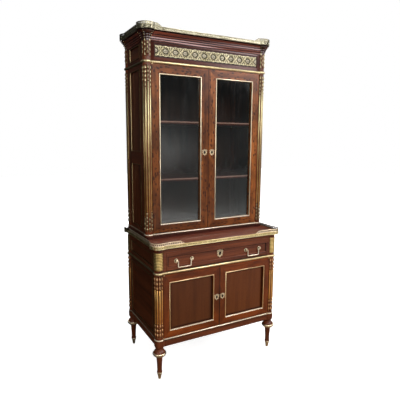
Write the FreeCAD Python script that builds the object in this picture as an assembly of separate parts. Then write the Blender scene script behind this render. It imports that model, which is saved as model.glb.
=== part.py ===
import FreeCAD, Part
import os, math
from FreeCAD import Vector as V

os.makedirs("parts", exist_ok=True)

# ------------------------------------------------------------------ dimensions, mm
# Row frame: origin at the middle of the bounding box on the floor, +Z up,
# front facing -Y, width along X. The y values below are design values; every
# solid is moved by Y_SHIFT when it is written, which centres the depth.
Y_SHIFT = -12.5
H_TOTAL = 2200.0          # to the top of the upper gallery
FL = -251.0               # front plane of the cupboard doors
FU = -78.0                # front plane of the bookcase doors
YB = 294.5                # flat back of the case
YT = 311.0                # back edge of the two tops
AL = 430.0                # column centre, cupboard
AU = 423.0                # column centre, bookcase
CFL = -232.0              # front column centre, cupboard
CFU = -59.0               # front column centre, bookcase
CR = 267.0                # rear column centre
YR = 241.0                # front face of the rear posts
R = 27.5                  # column radius
SXL = 449.0               # side plane, cupboard
SXU = 442.0               # side plane, bookcase
XPL = 410.0               # inner face of cupboard posts
XPU = 403.0               # inner face of bookcase posts
BL = 54.0                 # corner bulge of the cupboard top
BU = 61.0                 # corner bulge of the cornice
OVL = 24.0                # straight overhang of the cupboard top
OVU = 28.0                # straight overhang of the cornice

Z_NECK = 209.0            # foot neck / bottom of the post
Z_PLB = 221.0             # bottom of the plinth rails
Z_FLOOR = 256.0           # underside of the cupboard floor
T_FLOOR = 18.0
Z_DUST = 693.0            # underside of the dustboard
T_DUST = 18.0
Z_RAIL = 837.0            # underside of the rail over the drawer
Z_TOP = 863.0             # underside of the cupboard top
T_TOP = 20.0
Z_UPL = 883.0             # bookcase plinth
Z_UFL = 898.0             # bookcase floor
T_UFL = 16.0
Z_CEIL = 1973.0           # underside of the bookcase ceiling
T_CEIL = 16.0
Z_COR = 2098.0            # underside of the cornice
Z_RIMU = 2161.0           # underside of the upper rim
T_RIM = 21.0
Z_GALU = 2182.0
Z_GALL = 884.0
H_GALL = 19.0
H_GALU = H_TOTAL - Z_GALU

FLUTE_R = 5.2             # flute
FLUTE_C = 25.5
ROD_R = 4.2               # brass rod in the flute
ROD_C = 24.5
FLUTE_STEP = 37.0         # degrees between flutes

DOOR_T = 28.0             # door thickness
DU_X = (1.0, 401.5)       # bookcase door, right-hand
DU_Z = (916.0, 1971.0)
DL_X = (1.0, 408.5)       # cupboard door, right-hand
DL_Z = (276.0, 691.0)
BEAD_U = (54.5, 350.5, 967.0, 1917.0)   # outer edge of the brass bead, bookcase
BEAD_L = (44.5, 366.5, 318.0, 640.5)    # outer edge of the brass bead, cupboard
BEAD_W = 9.0
BEAD_P = 3.5
PIV = 4.0                 # pivot axis in front of the door face and inside its edge
PIN_R = 2.2
PIN_HOLE = 2.25

FALL_X = 386.0            # half length of the fall
FALL_Z = (714.0, 835.0)
FALL_SUNK = -247.0        # sunk face of the fall
FALL_IN = -229.0          # inner face of the fall
AX_Y, AX_Z = -239.0, 735.0   # axis of the fall
BAIL_X = 263.0            # middle of a handle
BAIL_S = 111.0            # post spacing
BAIL_Z = 771.0
BAIL_D = 11.0             # bail axis in front of the sunk face
BAIL_DROP = 41.0
BAIL_R = 3.3
KEY_ZU = 1432.0
KEY_ZL = 478.0
KEY_ZF = 776.0


# ------------------------------------------------------------------ helpers
def box(x0, x1, y0, y1, z0, z1):
    return Part.makeBox(x1 - x0, y1 - y0, z1 - z0, V(x0, y0, z0))


def cyl(x, y, z0, z1, r):
    return Part.makeCylinder(r, z1 - z0, V(x, y, z0))


def cylx(x0, x1, y, z, r):
    return Part.makeCylinder(r, x1 - x0, V(x0, y, z), V(1, 0, 0))


def cyly(x, y0, y1, z, r):
    return Part.makeCylinder(r, y1 - y0, V(x, y0, z), V(0, 1, 0))


def fuse(shapes):
    s = shapes[0]
    if len(shapes) > 1:
        s = s.fuse(shapes[1:])
    return s.removeSplitter()


def mx(s):
    return s.mirror(V(0, 0, 0), V(1, 0, 0))


def both(s):
    return [s, mx(s)]


def flat(lst):
    out = []
    for s in lst:
        if isinstance(s, (list, tuple)):
            out += flat(s)
        elif s.ShapeType == "Solid":
            out.append(s)
        else:
            out += list(s.Solids)
    return out


def put(name, *shapes):
    sol = flat(shapes)
    for s in sol:
        if not s.isValid() or s.Volume < 1.0:
            raise RuntimeError("bad solid in " + name)
    shape = (sol[0] if len(sol) == 1 else Part.makeCompound(sol)).copy()
    shape.translate(V(0, Y_SHIFT, 0))
    shape.exportStep("parts/" + name + ".step")
    bb = shape.BoundBox
    print("%-26s %3d solids  x %.1f..%.1f y %.1f..%.1f z %.1f..%.1f" % (
        name, len(sol), bb.XMin, bb.XMax, bb.YMin, bb.YMax, bb.ZMin, bb.ZMax))


def cutall(s, tools):
    return s.cut(tools) if tools else s


BIG = box(-1000, 1000, -1000, YB, -10, 3000)
BIGT = box(-1000, 1000, -1000, YT, -10, 3000)


def plan(xs, yf, a, cf, b, z0, z1, yback):
    """Outline of a stage: rectangle with round corner bulges, flat at the back."""
    s = box(-xs, xs, yf, yback, z0, z1).fuse(
        [cyl(sx * a, cy, z0, z1, b) for sx in (-1, 1) for cy in (cf, CR)])
    return s.common(box(-1000, 1000, -1000, yback, -10, 3000)).removeSplitter()


def plan_low(o, b, z0, z1, yback=YT):
    return plan(SXL + o, FL - o, AL, CFL, b, z0, z1, yback)


def plan_up(o, b, z0, z1, yback=YT):
    return plan(SXU + o, FU - o, AU, CFU, b, z0, z1, yback)


def turned(x, y, prof):
    """Solid of revolution about a vertical axis; prof is (radius, z) from bottom to top."""
    pts = [V(0, 0, prof[0][1])] + [V(r, 0, z) for r, z in prof] + [V(0, 0, prof[-1][1]), V(0, 0, prof[0][1])]
    f = Part.Face(Part.makePolygon(pts))
    s = f.revolve(V(0, 0, 0), V(0, 0, 1), 360)
    s.translate(V(x, y, 0))
    return s


def ring_rect_y(x0, x1, z0, z1, w, ya, yb):
    return box(x0, x1, ya, yb, z0, z1).cut(box(x0 + w, x1 - w, ya - 1, yb + 1, z0 + w, z1 - w))


CORN_L = [(sx, AL, cy) for sx in (1, -1) for cy in (CFL, CR)]
CORN_U = [(sx, AU, cy) for sx in (1, -1) for cy in (CFU, CR)]


def flute_dirs(sx, cy):
    """Directions of the flutes of a column; those cut off by the flat back are left out."""
    front = cy < 200
    base = -45.0 if front else 45.0
    out = []
    for k in range(-2, 3):
        ang = base + FLUTE_STEP * k
        if sx < 0:
            ang = 180.0 - ang
        c, s = math.cos(math.radians(ang)), math.sin(math.radians(ang))
        if not front and cy + FLUTE_C * s + FLUTE_R > YB - 1.0:
            continue
        out.append((c, s, k))
    return out


# ------------------------------------------------------------------ posts
# flute spans: (bottom of flute, end of lower husk, start of upper husk, top of flute)
SPAN_L = (289.0, 379.0, 599.0, 686.0)
SPAN_U = (931.0, 1057.0, 1864.0, 1959.0)
SPAN_F = (2008.0, 2040.0, 2060.0, 2090.0)

low_posts, up_posts, rods, husks, plates = [], [], [], [], []
PINS = []
SHELF_U = (1264.0, 1634.0)     # top faces of the bookcase shelves
SHELF_L = 484.0
T_SHELF = 18.0
pin_sets = [(XPL, (FL + 39.0, 258.0), SHELF_L)] + [(XPU, (FU + 38.0, 258.0), z) for z in SHELF_U]
for xp, ys, zt in pin_sets:
    for sx in (1, -1):
        for yy in ys:
            zc = zt - T_SHELF - 3.0
            if sx > 0:
                PINS.append(cylx(xp - 9.0, xp + 10.0, yy, zc, 3.0))
            else:
                PINS.append(cylx(-xp - 10.0, -xp + 9.0, yy, zc, 3.0))

for sx, a, cy in CORN_L:
    front = cy < 200
    y0, y1 = (FL, FL + 45.0) if front else (YR, CR)
    x0, x1 = (XPL, SXL) if sx > 0 else (-SXL, -XPL)
    s = cyl(sx * a, cy, 262.0, Z_TOP, R).fuse(box(x0, x1, y0, y1, Z_PLB, Z_TOP))
    if not front:
        s = s.fuse(box(min(sx * XPL, sx * AL), max(sx * XPL, sx * AL), YR, YB, Z_PLB, Z_TOP))
    cup = turned(sx * a, cy, [(18.5, Z_NECK), (24.0, 212.0), (29.0, 219.0), (32.0, 229.0), (33.0, 241.0), (33.0, 262.0)])
    s = s.fuse(cup)
    keep = box(XPL, 600, -600, YB, 0, 1000) if sx > 0 else box(-600, -XPL, -600, YB, 0, 1000)
    low = box(-600, 600, -600, YB, 0, 262.0)
    s = s.common(keep.fuse(low)).removeSplitter()
    cuts = []
    for c, sn, k in flute_dirs(sx, cy):
        fx, fy = sx * a + FLUTE_C * c, cy + FLUTE_C * sn
        rx, ry = sx * a + ROD_C * c, cy + ROD_C * sn
        cuts.append(cyl(fx, fy, SPAN_L[0], SPAN_L[3], FLUTE_R))
        d = 12.0 if k % 2 else 0.0
        rods.append(cyl(rx, ry, SPAN_L[1] + d, SPAN_L[2] - d, ROD_R))
        husks.append(cyl(rx, ry, SPAN_L[0], SPAN_L[1] + d, ROD_R))
        husks.append(cyl(rx, ry, SPAN_L[2] - d, SPAN_L[3], ROD_R))
    s = cutall(s, cuts)
    s = cutall(s, [p for p in PINS if p.BoundBox.ZMax < 800])
    low_posts.append(s)
    # ridged plate round the corner at drawer height
    sh = cyl(sx * a, cy, 726.0, 836.0, R + 2.0).cut(cyl(sx * a, cy, 720.0, 840.0, R))
    sh = sh.cut([box(-SXL, SXL, FL, CR, 700, 860), box(-AL, AL, CR, YB + 10.0, 700, 860)])
    sh = sh.common(BIG)
    plates += [q for q in sh.Solids if q.Volume > 200.0]

for sx, a, cy in CORN_U:
    front = cy < 200
    y0, y1 = (FU, FU + 45.0) if front else (YR, CR)
    x0, x1 = (XPU, SXU) if sx > 0 else (-SXU, -XPU)
    s = cyl(sx * a, cy, Z_UFL, Z_COR, R).fuse(box(x0, x1, y0, y1, Z_UFL, Z_COR))
    if not front:
        s = s.fuse(box(min(sx * XPU, sx * AU), max(sx * XPU, sx * AU), YR, YB, Z_UFL, Z_COR))
    keep = box(XPU, 600, -600, YB, 0, 3000) if sx > 0 else box(-600, -XPU, -600, YB, 0, 3000)
    s = s.common(keep).removeSplitter()
    cuts = []
    for c, sn, k in flute_dirs(sx, cy):
        fx, fy = sx * a + FLUTE_C * c, cy + FLUTE_C * sn
        rx, ry = sx * a + ROD_C * c, cy + ROD_C * sn
        cuts.append(cyl(fx, fy, SPAN_U[0], SPAN_U[3], FLUTE_R))
        cuts.append(cyl(fx, fy, SPAN_F[0], SPAN_F[3], FLUTE_R))
        d = 16.0 if k % 2 else 0.0
        rods.append(cyl(rx, ry, SPAN_U[1] + d, SPAN_U[2] - d, ROD_R))
        husks.append(cyl(rx, ry, SPAN_U[0], SPAN_U[1] + d, ROD_R))
        husks.append(cyl(rx, ry, SPAN_U[2] - d, SPAN_U[3], ROD_R))
        husks.append(cyl(rx, ry, SPAN_F[0], SPAN_F[3], ROD_R))
    s = cutall(s, cuts)
    s = cutall(s, [p for p in PINS if p.BoundBox.ZMin > 900])
    up_posts.append(s)

put("base_posts", low_posts)
put("bookcase_posts", up_posts)
put("flute_rods", rods)
put("column_husks", husks)
put("corner_plates", plates)
put("shelf_pins", PINS)

# ------------------------------------------------------------------ feet
shaft = [(13.0, 46.0), (16.5, 48.0), (16.5, 58.0), (13.0, 60.0), (14.5, 100.0), (18.0, 150.0),
         (18.0, 176.0), (38.0, 176.0), (37.0, 183.0), (31.0, 193.0), (24.0, 202.0), (18.5, Z_NECK)]
ringp = [(18.0, 148.0), (24.0, 150.0), (36.0, 160.0), (43.5, 168.0), (43.5, 174.0), (40.0, 176.0)]
tip = [(7.0, 0.0), (9.0, 12.0), (12.5, 36.0), (15.5, 40.0), (15.5, 44.0), (13.0, 46.0)]
feet, fmounts = [], []
for sx, a, cy in CORN_L:
    f = turned(sx * a, cy, shaft)
    rg = turned(sx * a, cy, ringp).cut(f)
    feet.append(f)
    fmounts += [max(rg.Solids, key=lambda q: q.Volume)]
    fmounts.append(turned(sx * a, cy, tip))
put("turned_feet", feet)
put("foot_mounts", fmounts)

# ------------------------------------------------------------------ cupboard case
rails = [box(-XPL, XPL, FL, FL + 22.0, Z_PLB, Z_FLOOR), box(-XPL, XPL, YB - 22.0, YB, Z_PLB, Z_FLOOR),
         box(SXL - 22.0, SXL, FL + 45.0, YR, Z_PLB, Z_FLOOR),
         box(-SXL, -SXL + 22.0, FL + 45.0, YR, Z_PLB, Z_FLOOR)]
plinths = [r.cut(low_posts) for r in rails]


def side(xs, t, y0, y1, st, levels):
    """Stiles and rails of one side (right-hand); levels are the rail spans in z."""
    z0, z1 = levels[0][0], levels[-1][1]
    out = [box(xs - t, xs, y0, y0 + st, z0, z1), box(xs - t, xs, y1 - st, y1, z0, z1)]
    for a, b in levels:
        out.append(box(xs - t, xs, y0 + st, y1 - st, a, b))
    gaps = [(levels[i][1], levels[i + 1][0]) for i in range(len(levels) - 1)]
    pan, bead = [], []
    for a, b in gaps:
        pan.append(box(xs - 18.0, xs - 8.0, y0 + st, y1 - st, a, b))
        q = box(xs, xs + 3.0, y0 + st - 5.0, y1 - st + 5.0, a - 5.0, b + 5.0)
        q = q.cut(box(xs - 1, xs + 9, y0 + st + 3.0, y1 - st - 3.0, a + 3.0, b - 3.0))
        bead.append(q)
    return out, pan, bead


sl, pl, bl = side(SXL, 22.0, FL + 45.0, YR, 28.0,
                  [(Z_FLOOR, 299.0), (665.0, 739.0), (809.0, Z_TOP)])
su, pu, bu = side(SXU, 22.0, FU + 45.0, YR, 51.0,
                  [(Z_UFL, 944.0), (1352.0, 1440.0), (1943.0, 2013.0), (2088.0, Z_COR)])
sl = [q.cut(low_posts[:2]) for q in sl]
su = [q.cut(up_posts[:2]) for q in su]
put("side_frames", [both(q) for q in sl], [both(q) for q in su])
put("side_panels", [both(q) for q in pl + pu])
put("side_beads", [both(q) for q in bl + bu])

# floor, dustboard, bookcase floor and ceiling; fillets at the corners clear the posts
cb = [box(-427.0, 427.0, FL, YB - 10.0, Z_FLOOR, Z_FLOOR + T_FLOOR).cut(low_posts),
      box(-427.0, 427.0, FL, YB - 10.0, Z_DUST, Z_DUST + T_DUST).cut(low_posts),
      box(-420.0, 420.0, FU, YB - 10.0, Z_UFL, Z_UFL + T_UFL).cut(up_posts),
      box(-420.0, 420.0, FU, YB - 10.0, Z_CEIL, Z_CEIL + T_CEIL).cut(up_posts)]
put("case_boards", cb)
put("backboards", box(-XPL, XPL, YB - 10.0, YB, Z_FLOOR, Z_TOP).cut(low_posts), box(-XPU, XPU, YB - 10.0, YB, Z_UFL, Z_COR))

keeper = box(-13.0, 13.0, -238.0, -228.0, Z_RAIL - 1.0, Z_RAIL + 11.0)
put("drawer_rails", box(-XPL, XPL, FL, FL + 22.0, Z_RAIL, Z_TOP).cut(keeper),
    both(box(408.0, 427.0, FL + 45.0, YR, Z_DUST + T_DUST, 740.0).cut(low_posts[:2])))

put("shelves", box(-XPL + 1.0, XPL - 1.0, FL + 33.0, YB - 11.0, SHELF_L - T_SHELF, SHELF_L),
    [box(-XPU + 1.0, XPU - 1.0, FU + 32.0, YB - 11.0, z - T_SHELF, z) for z in SHELF_U])

put("base_top", plan_low(OVL - 4.0, BL - 4.0, Z_TOP, Z_TOP + T_TOP))
rim_l = plan_low(OVL, BL, Z_TOP, Z_GALL).cut(plan_low(OVL - 4.0, BL - 4.0, Z_TOP - 1, Z_GALL + 1))


def biggest(s):
    return max(s.Solids, key=lambda q: q.Volume)


def half_round(planf, xs, yf, a, cf, zc, r):
    """Half-round moulding round the front and sides of a stage, in lengths, with the
    corner lengths carried round the columns."""
    body = planf(0.0, R, zc - r - 1, zc + r + 1, YB)
    bars = [cylx(-a, a, yf, zc, r)] + [cyly(sx * xs, cf, CR, zc, r) for sx in (-1, 1)]
    bars = [biggest(q.cut(body)) for q in bars]
    out = list(bars)
    for sx in (-1, 1):
        for cy in (cf, CR):
            pts = [V(R - 1.0, 0, zc - r)]
            n = 12
            arc = [V(R + r * math.cos(math.radians(-90 + 180.0 * i / n)), 0, zc + r * math.sin(math.radians(-90 + 180.0 * i / n)))
                   for i in range(n + 1)]
            f = Part.Face(Part.makePolygon(pts + arc + [V(R - 1.0, 0, zc + r), pts[0]]))
            t = f.revolve(V(0, 0, 0), V(0, 0, 1), 360)
            t.translate(V(sx * a, cy, 0))
            t = t.cut([body] + bars).common(BIG)
            out.append(biggest(t))
    return out


put("brass_mouldings", half_round(plan_low, SXL, FL, AL, CFL, 703.0, 8.0),
    half_round(plan_up, SXU, FU, AU, CFU, 1981.0, 8.0),
    half_round(plan_low, SXL, FL, AL, CFL, 269.0, 4.0),
    half_round(plan_up, SXU, FU, AU, CFU, 909.0, 4.0))


def gallery(planf, o, b, z0, h, xend, ramp):
    """Pierced gallery band: sides, corner bulges and front returns with ramped ends."""
    g = planf(o, b, z0, z0 + h).cut(planf(o - 2.0, b - 2.0, z0 - 1, z0 + h + 1))
    g = g.cut(box(-xend, xend, -600, 0, z0 - 5, z0 + h + 5))
    for sx in (-1, 1):
        pts = [V(sx * xend, -600, z0), V(sx * (xend + ramp), -600, z0 + h + 0.01), V(sx * xend, -600, z0 + h + 0.01), V(sx * xend, -600, z0)]
        g = g.cut(Part.Face(Part.makePolygon(pts)).extrude(V(0, 600, 0)))
    return g


gal = flat([gallery(plan_low, OVL - 1.0, BL - 1.0, Z_GALL, H_GALL, 272.0, 26.0),
            gallery(plan_up, OVU - 1.0, BU - 1.0, Z_GALU, H_GALU, 345.0, 24.0)])
put("pierced_galleries", [g for g in gal if g.Volume > 2000.0])

# ------------------------------------------------------------------ bookcase
pl_o = plan_up(6.0, R + 6.0, Z_UPL, Z_UFL, YB)
plinths += [pl_o.common(box(-600, 600, -600, FU + 22.0, 800, 1000)),
            pl_o.common(box(SXU - 22.0, 600, FU + 22.0, YB, 800, 1000)),
            pl_o.common(box(-600, -SXU + 22.0, FU + 22.0, YB, 800, 1000))]
put("plinth_rails", plinths)

frieze = box(-XPU, XPU, FU, FU + 22.0, Z_CEIL + T_CEIL, Z_COR)
frieze = frieze.cut(box(-382.0, 382.0, FU - 1, FU + 6.0, 2009.0, 2089.0))
put("frieze_board", frieze)
put("frieze_ornament", box(-373.5, 373.5, FU - 1.0, FU + 6.0, 2017.0, 2081.0))

# cornice: stepped profile carried round the front, the sides and the corner bulges
CP = [(0.0, 2098.0), (3.0, 2098.0), (3.0, 2106.0), (6.0, 2108.0), (12.0, 2115.0), (14.0, 2125.0), (14.0, 2130.0),
      (17.0, 2131.0), (18.0, 2137.0), (21.0, 2147.0), (21.0, 2150.0), (24.0, 2152.0), (24.0, Z_RIMU + T_RIM - 1.0)]
CB = [(R + 1.0, 2098.0), (R + 3.0, 2106.0), (R + 7.0, 2112.0), (R + 12.0, 2124.0), (R + 14.0, 2131.0), (R + 17.0, 2133.0),
      (R + 22.0, 2144.0), (R + 27.0, 2150.0), (R + 29.5, 2153.0), (BU - 4.0, Z_RIMU + T_RIM - 1.0)]
zt = CP[-1][1]
pts = [V(-SXU - 30, FU + 30.0, 2098.0)] + [V(-SXU - 30, FU - o, z) for o, z in CP] + [V(-SXU - 30, FU + 30.0, zt)]
front = Part.Face(Part.makePolygon(pts + [pts[0]])).extrude(V(2 * SXU + 60, 0, 0))
pts = [V(SXU - 30.0, FU - 60, 2098.0)] + [V(SXU + o, FU - 60, z) for o, z in CP] + [V(SXU - 30.0, FU - 60, zt)]
sideR = Part.Face(Part.makePolygon(pts + [pts[0]])).extrude(V(0, YT - FU + 60, 0))
lim_f = box(-AU, AU, -600, 600, 2000, 2300)
lim_s = box(-900, 900, CFU, YT, 2000, 2300)
corn = [front.common(lim_f), sideR.common(lim_s), mx(sideR).common(lim_s)]
corn += [turned(sx * a, cy, CB) for sx, a, cy in CORN_U]
corn.append(box(-SXU + 20, SXU - 20, FU + 20, YT, zt - 16.0, zt))
corn.append(box(-SXU + 20, SXU - 20, YB - 10.0, YB, Z_COR, zt))
cornice = fuse(corn).common(BIGT)
put("cornice", biggest(cornice))
rim_u = plan_up(OVU, BU, Z_RIMU, Z_GALU).cut(plan_up(OVU - 4.0, BU - 4.0, Z_RIMU - 1, Z_GALU + 1))
rim_u = rim_u.cut(cornice)
put("top_rims", biggest(rim_l), biggest(rim_u))


# ------------------------------------------------------------------ doors (right-hand, mirrored for the left)
def pivot_shape(ax, ay, xin, xout, ya, yb, z0, z1):
    return fuse([cyl(ax, ay, z0, z1, 5.0), box(ax - 5.0, ax + 4.0, ay, yb, z0, z1), box(xin, xout, ya, yb, z0, z1)])


def door(face, xr, zr, bead, glass_y, glass_t, rebate=7.0):
    x0, x1 = xr
    z0, z1 = zr
    bx0, bx1, bz0, bz1 = bead
    ox0, ox1, oz0, oz1 = bx0 + 5.0, bx1 - 5.0, bz0 + 5.0, bz1 - 5.0
    back = face + DOOR_T
    reb = box(ox0 - rebate, ox1 + rebate, face + glass_y, back + 1, oz0 - rebate, oz1 + rebate)
    fr = [box(x0, ox0, face, back, z0, z1), box(ox1, x1, face, back, z0, z1),
          box(ox0, ox1, face, back, z0, oz0), box(ox0, ox1, face, back, oz1, z1)]
    fr = [q.cut(reb) for q in fr]
    e = 0.5
    pane = box(ox0 - rebate + e, ox1 + rebate - e, face + glass_y, face + glass_y + glass_t, oz0 - rebate + e, oz1 + rebate - e)
    sy0, sy1 = face + glass_y + glass_t, back - 1.0
    a0, a1, b0, b1 = ox0 - rebate, ox1 + rebate, oz0 - rebate, oz1 + rebate
    w = rebate + 1.0
    stops = [box(a0, a0 + w, sy0, sy1, b0, b1), box(a1 - w, a1, sy0, sy1, b0, b1),
             box(a0 + w, a1 - w, sy0, sy1, b0, b0 + w), box(a0 + w, a1 - w, sy0, sy1, b1 - w, b1)]
    bd = ring_rect_y(bx0, bx1, bz0, bz1, BEAD_W, face - BEAD_P, face)
    lip = ring_rect_y(ox0, ox1, oz0, oz1, BEAD_W - 5.0, face - 1.0, face + 6.0)
    bd = bd.fuse(lip).removeSplitter()
    ax, ay = x1 - PIV, face - PIV
    mov, fix = [], []
    for zz, dz in ((z0, 1.0), (z1, -1.0)):
        m0, m1 = (zz, zz + 2.0) if dz > 0 else (zz - 2.0, zz)
        f0, f1 = (zz - 2.0, zz - 0.4) if dz > 0 else (zz + 0.4, zz + 2.0)
        p0, p1 = min(m0, f0), max(m1, f1)
        mp = pivot_shape(ax, ay, x1 - 26.0, x1, face + 5.0, face + 15.0, m0, m1).cut(cyl(ax, ay, m0 - 1, m1 + 1, PIN_HOLE))
        fp = pivot_shape(ax, ay, x1 - 26.0, x1, face + 5.0, face + 15.0, f0, f1).fuse(cyl(ax, ay, p0, p1, PIN_R)).removeSplitter()
        mov.append(mp)
        fix.append(fp)
    pocket = [pivot_shape(ax, ay, x1 - 26.0, x1, face + 5.0, face + 15.0, q.BoundBox.ZMin, q.BoundBox.ZMax) for q in mov]
    fr[1] = fr[1].cut(pocket)
    return fr, pane, stops, bd, mov, fix


def escutcheon(x, face, z, w, h):
    """Lobed key plate with a keyhole."""
    s = [cyly(x, face - 3.0, face, z + 3.0, w * 0.40)]
    for k in range(8):
        t = math.radians(45 * k + 22.5)
        s.append(cyly(x + 0.34 * w * math.cos(t), face - 2.4, face, z + 3.0 + 0.36 * w * math.sin(t), w * 0.16))
    s.append(cyly(x, face - 2.4, face, z - 0.36 * h, w * 0.16))
    s.append(cyly(x, face - 2.4, face, z + 0.38 * h, w * 0.14))
    e = fuse(s)
    key = fuse([cyly(x, face - 5, face + 1, z + 5.0, 3.6), box(x - 1.6, x + 1.6, face - 5, face + 1, z - 7.0, z + 5.0)])
    return e.cut(key)


def lock(x0, x1, back, zc, zh):
    """Cut lock let into the back of a stile, with its bolt at rest inside it."""
    y0, y1 = back - 12.0, back
    case = box(x0, x1, y0, y1, zc - zh, zc + zh)
    bolt = box(2.0, x1 - 10.0, y0 + 3.0, y1 - 3.0, zc - 7.0, zc + 7.0)
    run = box(-1.0, x1 - 4.0, y0 + 2.6, y1 - 2.6, zc - 7.4, zc + 7.4)
    keep = box(-9.5, 0.0, y0 + 2.0, y1 - 2.0, zc - 8.5, zc + 8.5)
    return case, case.cut(run), bolt, run, keep


fixed_piv = []
for nm, face, xr, zr, bead, gy, gt, pn, kz in (
        ("bookcase", FU, DU_X, DU_Z, BEAD_U, 14.0, 3.5, "pane", KEY_ZU),
        ("cupboard", FL, DL_X, DL_Z, BEAD_L, 15.0, 8.0, "panel", KEY_ZL)):
    fr, pane, stops, bd, mov, fix = door(face, xr, zr, bead, gy, gt)
    kx = (xr[0] + bead[0]) / 2.0
    es = escutcheon(kx, face, kz, 42.0, 52.0)
    bd = bd.cut(box(kx - 25, kx + 25, face - 5, face, kz - 40, kz + 40).common(es))
    case, lk, bolt, run, keep = lock(5.0, 36.0, face + DOOR_T, kz, 28.0)
    frR = [fr[0].cut([case, run])] + fr[1:]
    frL = [mx(fr[0]).cut(keep)] + [mx(q) for q in fr[1:]]
    es = es.cut(bd)
    put(nm + "_right_door_frame", frR, stops)
    put(nm + "_left_door_frame", frL, [mx(q) for q in stops])
    put(nm + "_right_door_" + pn, pane)
    put(nm + "_left_door_" + pn, mx(pane))
    put(nm + "_right_door_bead", bd)
    put(nm + "_left_door_bead", mx(bd))
    put(nm + "_right_escutcheon", biggest(es))
    put(nm + "_left_escutcheon", mx(biggest(es)))
    put(nm + "_right_door_pivots", mov)
    put(nm + "_left_door_pivots", [mx(q) for q in mov])
    put(nm + "_door_lock", lk)
    put(nm + "_lock_bolt", bolt)
    fixed_piv += fix + [mx(q) for q in fix]
put("fixed_pivots", fixed_piv)

# ------------------------------------------------------------------ writing drawer
stile = box(387.0, 407.0, FL, -225.0, 712.0, 835.0).cut(cylx(386.0, 398.0, AX_Y, AX_Z, 3.05))
dside = box(387.0, 399.0, -225.0, 240.0, 712.0, 835.0)
dback = box(-387.0, 387.0, 228.0, 240.0, 712.0, 835.0)
dbot = box(-387.0, 387.0, -214.5, 228.0, 733.0, 745.0)
dbot = dbot.cut([box(381.5, 388.0, -182.0, -153.0, 730, 750), box(-388.0, -381.5, -182.0, -153.0, 730, 750),
                 box(-355.0, 355.0, -205.0, 60.0, 744.0, 746.0)])
fit_top = box(-387.0, 387.0, 80.0, 228.0, 822.0, 830.0)
fdiv = box(120.0, 126.0, 80.0, 228.0, 745.0, 822.0)
put("drawer_box", both(stile), both(dside), dback, dbot, fit_top, both(fdiv))
put("drawer_leather", box(-355.0, 355.0, -205.0, 60.0, 744.0, 745.0))

for nm, sx in (("right", 1), ("left", -1)):
    q = [box(127.5, 385.5, 81.0, 91.0, 746.0, 820.5), box(128.5, 134.5, 91.0, 214.0, 746.0, 808.0),
         box(378.5, 384.5, 91.0, 214.0, 746.0, 808.0), box(134.5, 378.5, 208.0, 214.0, 746.0, 808.0),
         box(134.5, 378.5, 91.0, 208.0, 748.0, 753.0)]
    kn = Part.Face(Part.makePolygon([V(256.5, 81, 783), V(260.5, 81, 783), V(259.5, 75, 783), V(263.5, 71, 783),
                                     V(263.0, 67, 783), V(256.5, 66, 783), V(256.5, 81, 783)])).revolve(V(256.5, 0, 783), V(0, 1, 0), 360)
    q.append(kn)
    put("small_drawer_" + nm, q if sx > 0 else [mx(s) for s in q])

fall = box(-383.0, 383.0, FALL_SUNK, FALL_IN, FALL_Z[0], FALL_Z[1])
fall = fall.fuse([box(-FALL_X, FALL_X, FALL_SUNK, -244.2, FALL_Z[0], FALL_Z[1]),
                  box(-FALL_X, FALL_X, FL, -244.2, 803.0, FALL_Z[1])]).removeSplitter()
lk_case = box(-35.0, 35.0, -239.0, FALL_IN, 788.0, 833.0)
lk_run = box(-12.4, 12.4, -237.4, -230.6, 800.0, 836.0)
fall = fall.cut([lk_case, lk_run, box(-350.0, 350.0, FALL_IN - 0.8, FALL_IN + 1, 722.0, 782.0)])
put("fall_front", fall)
put("fall_leather", box(-350.0, 350.0, FALL_IN - 0.8, FALL_IN, 722.0, 782.0))
put("fall_lock", lk_case.cut(lk_run))
put("fall_lock_bolt", box(-12.0, 12.0, -237.0, -231.0, 812.0, 834.6))

quad = []
arc = Part.makeCylinder(78.0, 3.0, V(383.0, AX_Y, AX_Z), V(1, 0, 0)).cut(Part.makeCylinder(70.0, 5.0, V(382.0, AX_Y, AX_Z), V(1, 0, 0)))
wedge = Part.Face(Part.makePolygon([V(380, AX_Y, AX_Z)] + [V(380, AX_Y + 130 * math.cos(math.radians(t)), AX_Z + 130 * math.sin(math.radians(t)))
                                                          for t in (-6, 20, 45, 70, 90)] + [V(380, AX_Y, AX_Z)])).extrude(V(10, 0, 0))
arc = arc.common(wedge)
q = fuse([arc, box(383.0, 386.0, AX_Y - 4.0, AX_Y + 4.0, AX_Z, AX_Z + 78.0), cylx(383.0, 386.0, AX_Y, AX_Z, 5.0),
          cylx(383.0, 396.0, AX_Y, AX_Z, 3.0)])
put("quadrant_stays", both(q))

fe = escutcheon(0.0, FALL_SUNK, KEY_ZF, 46.0, 54.0)

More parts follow.
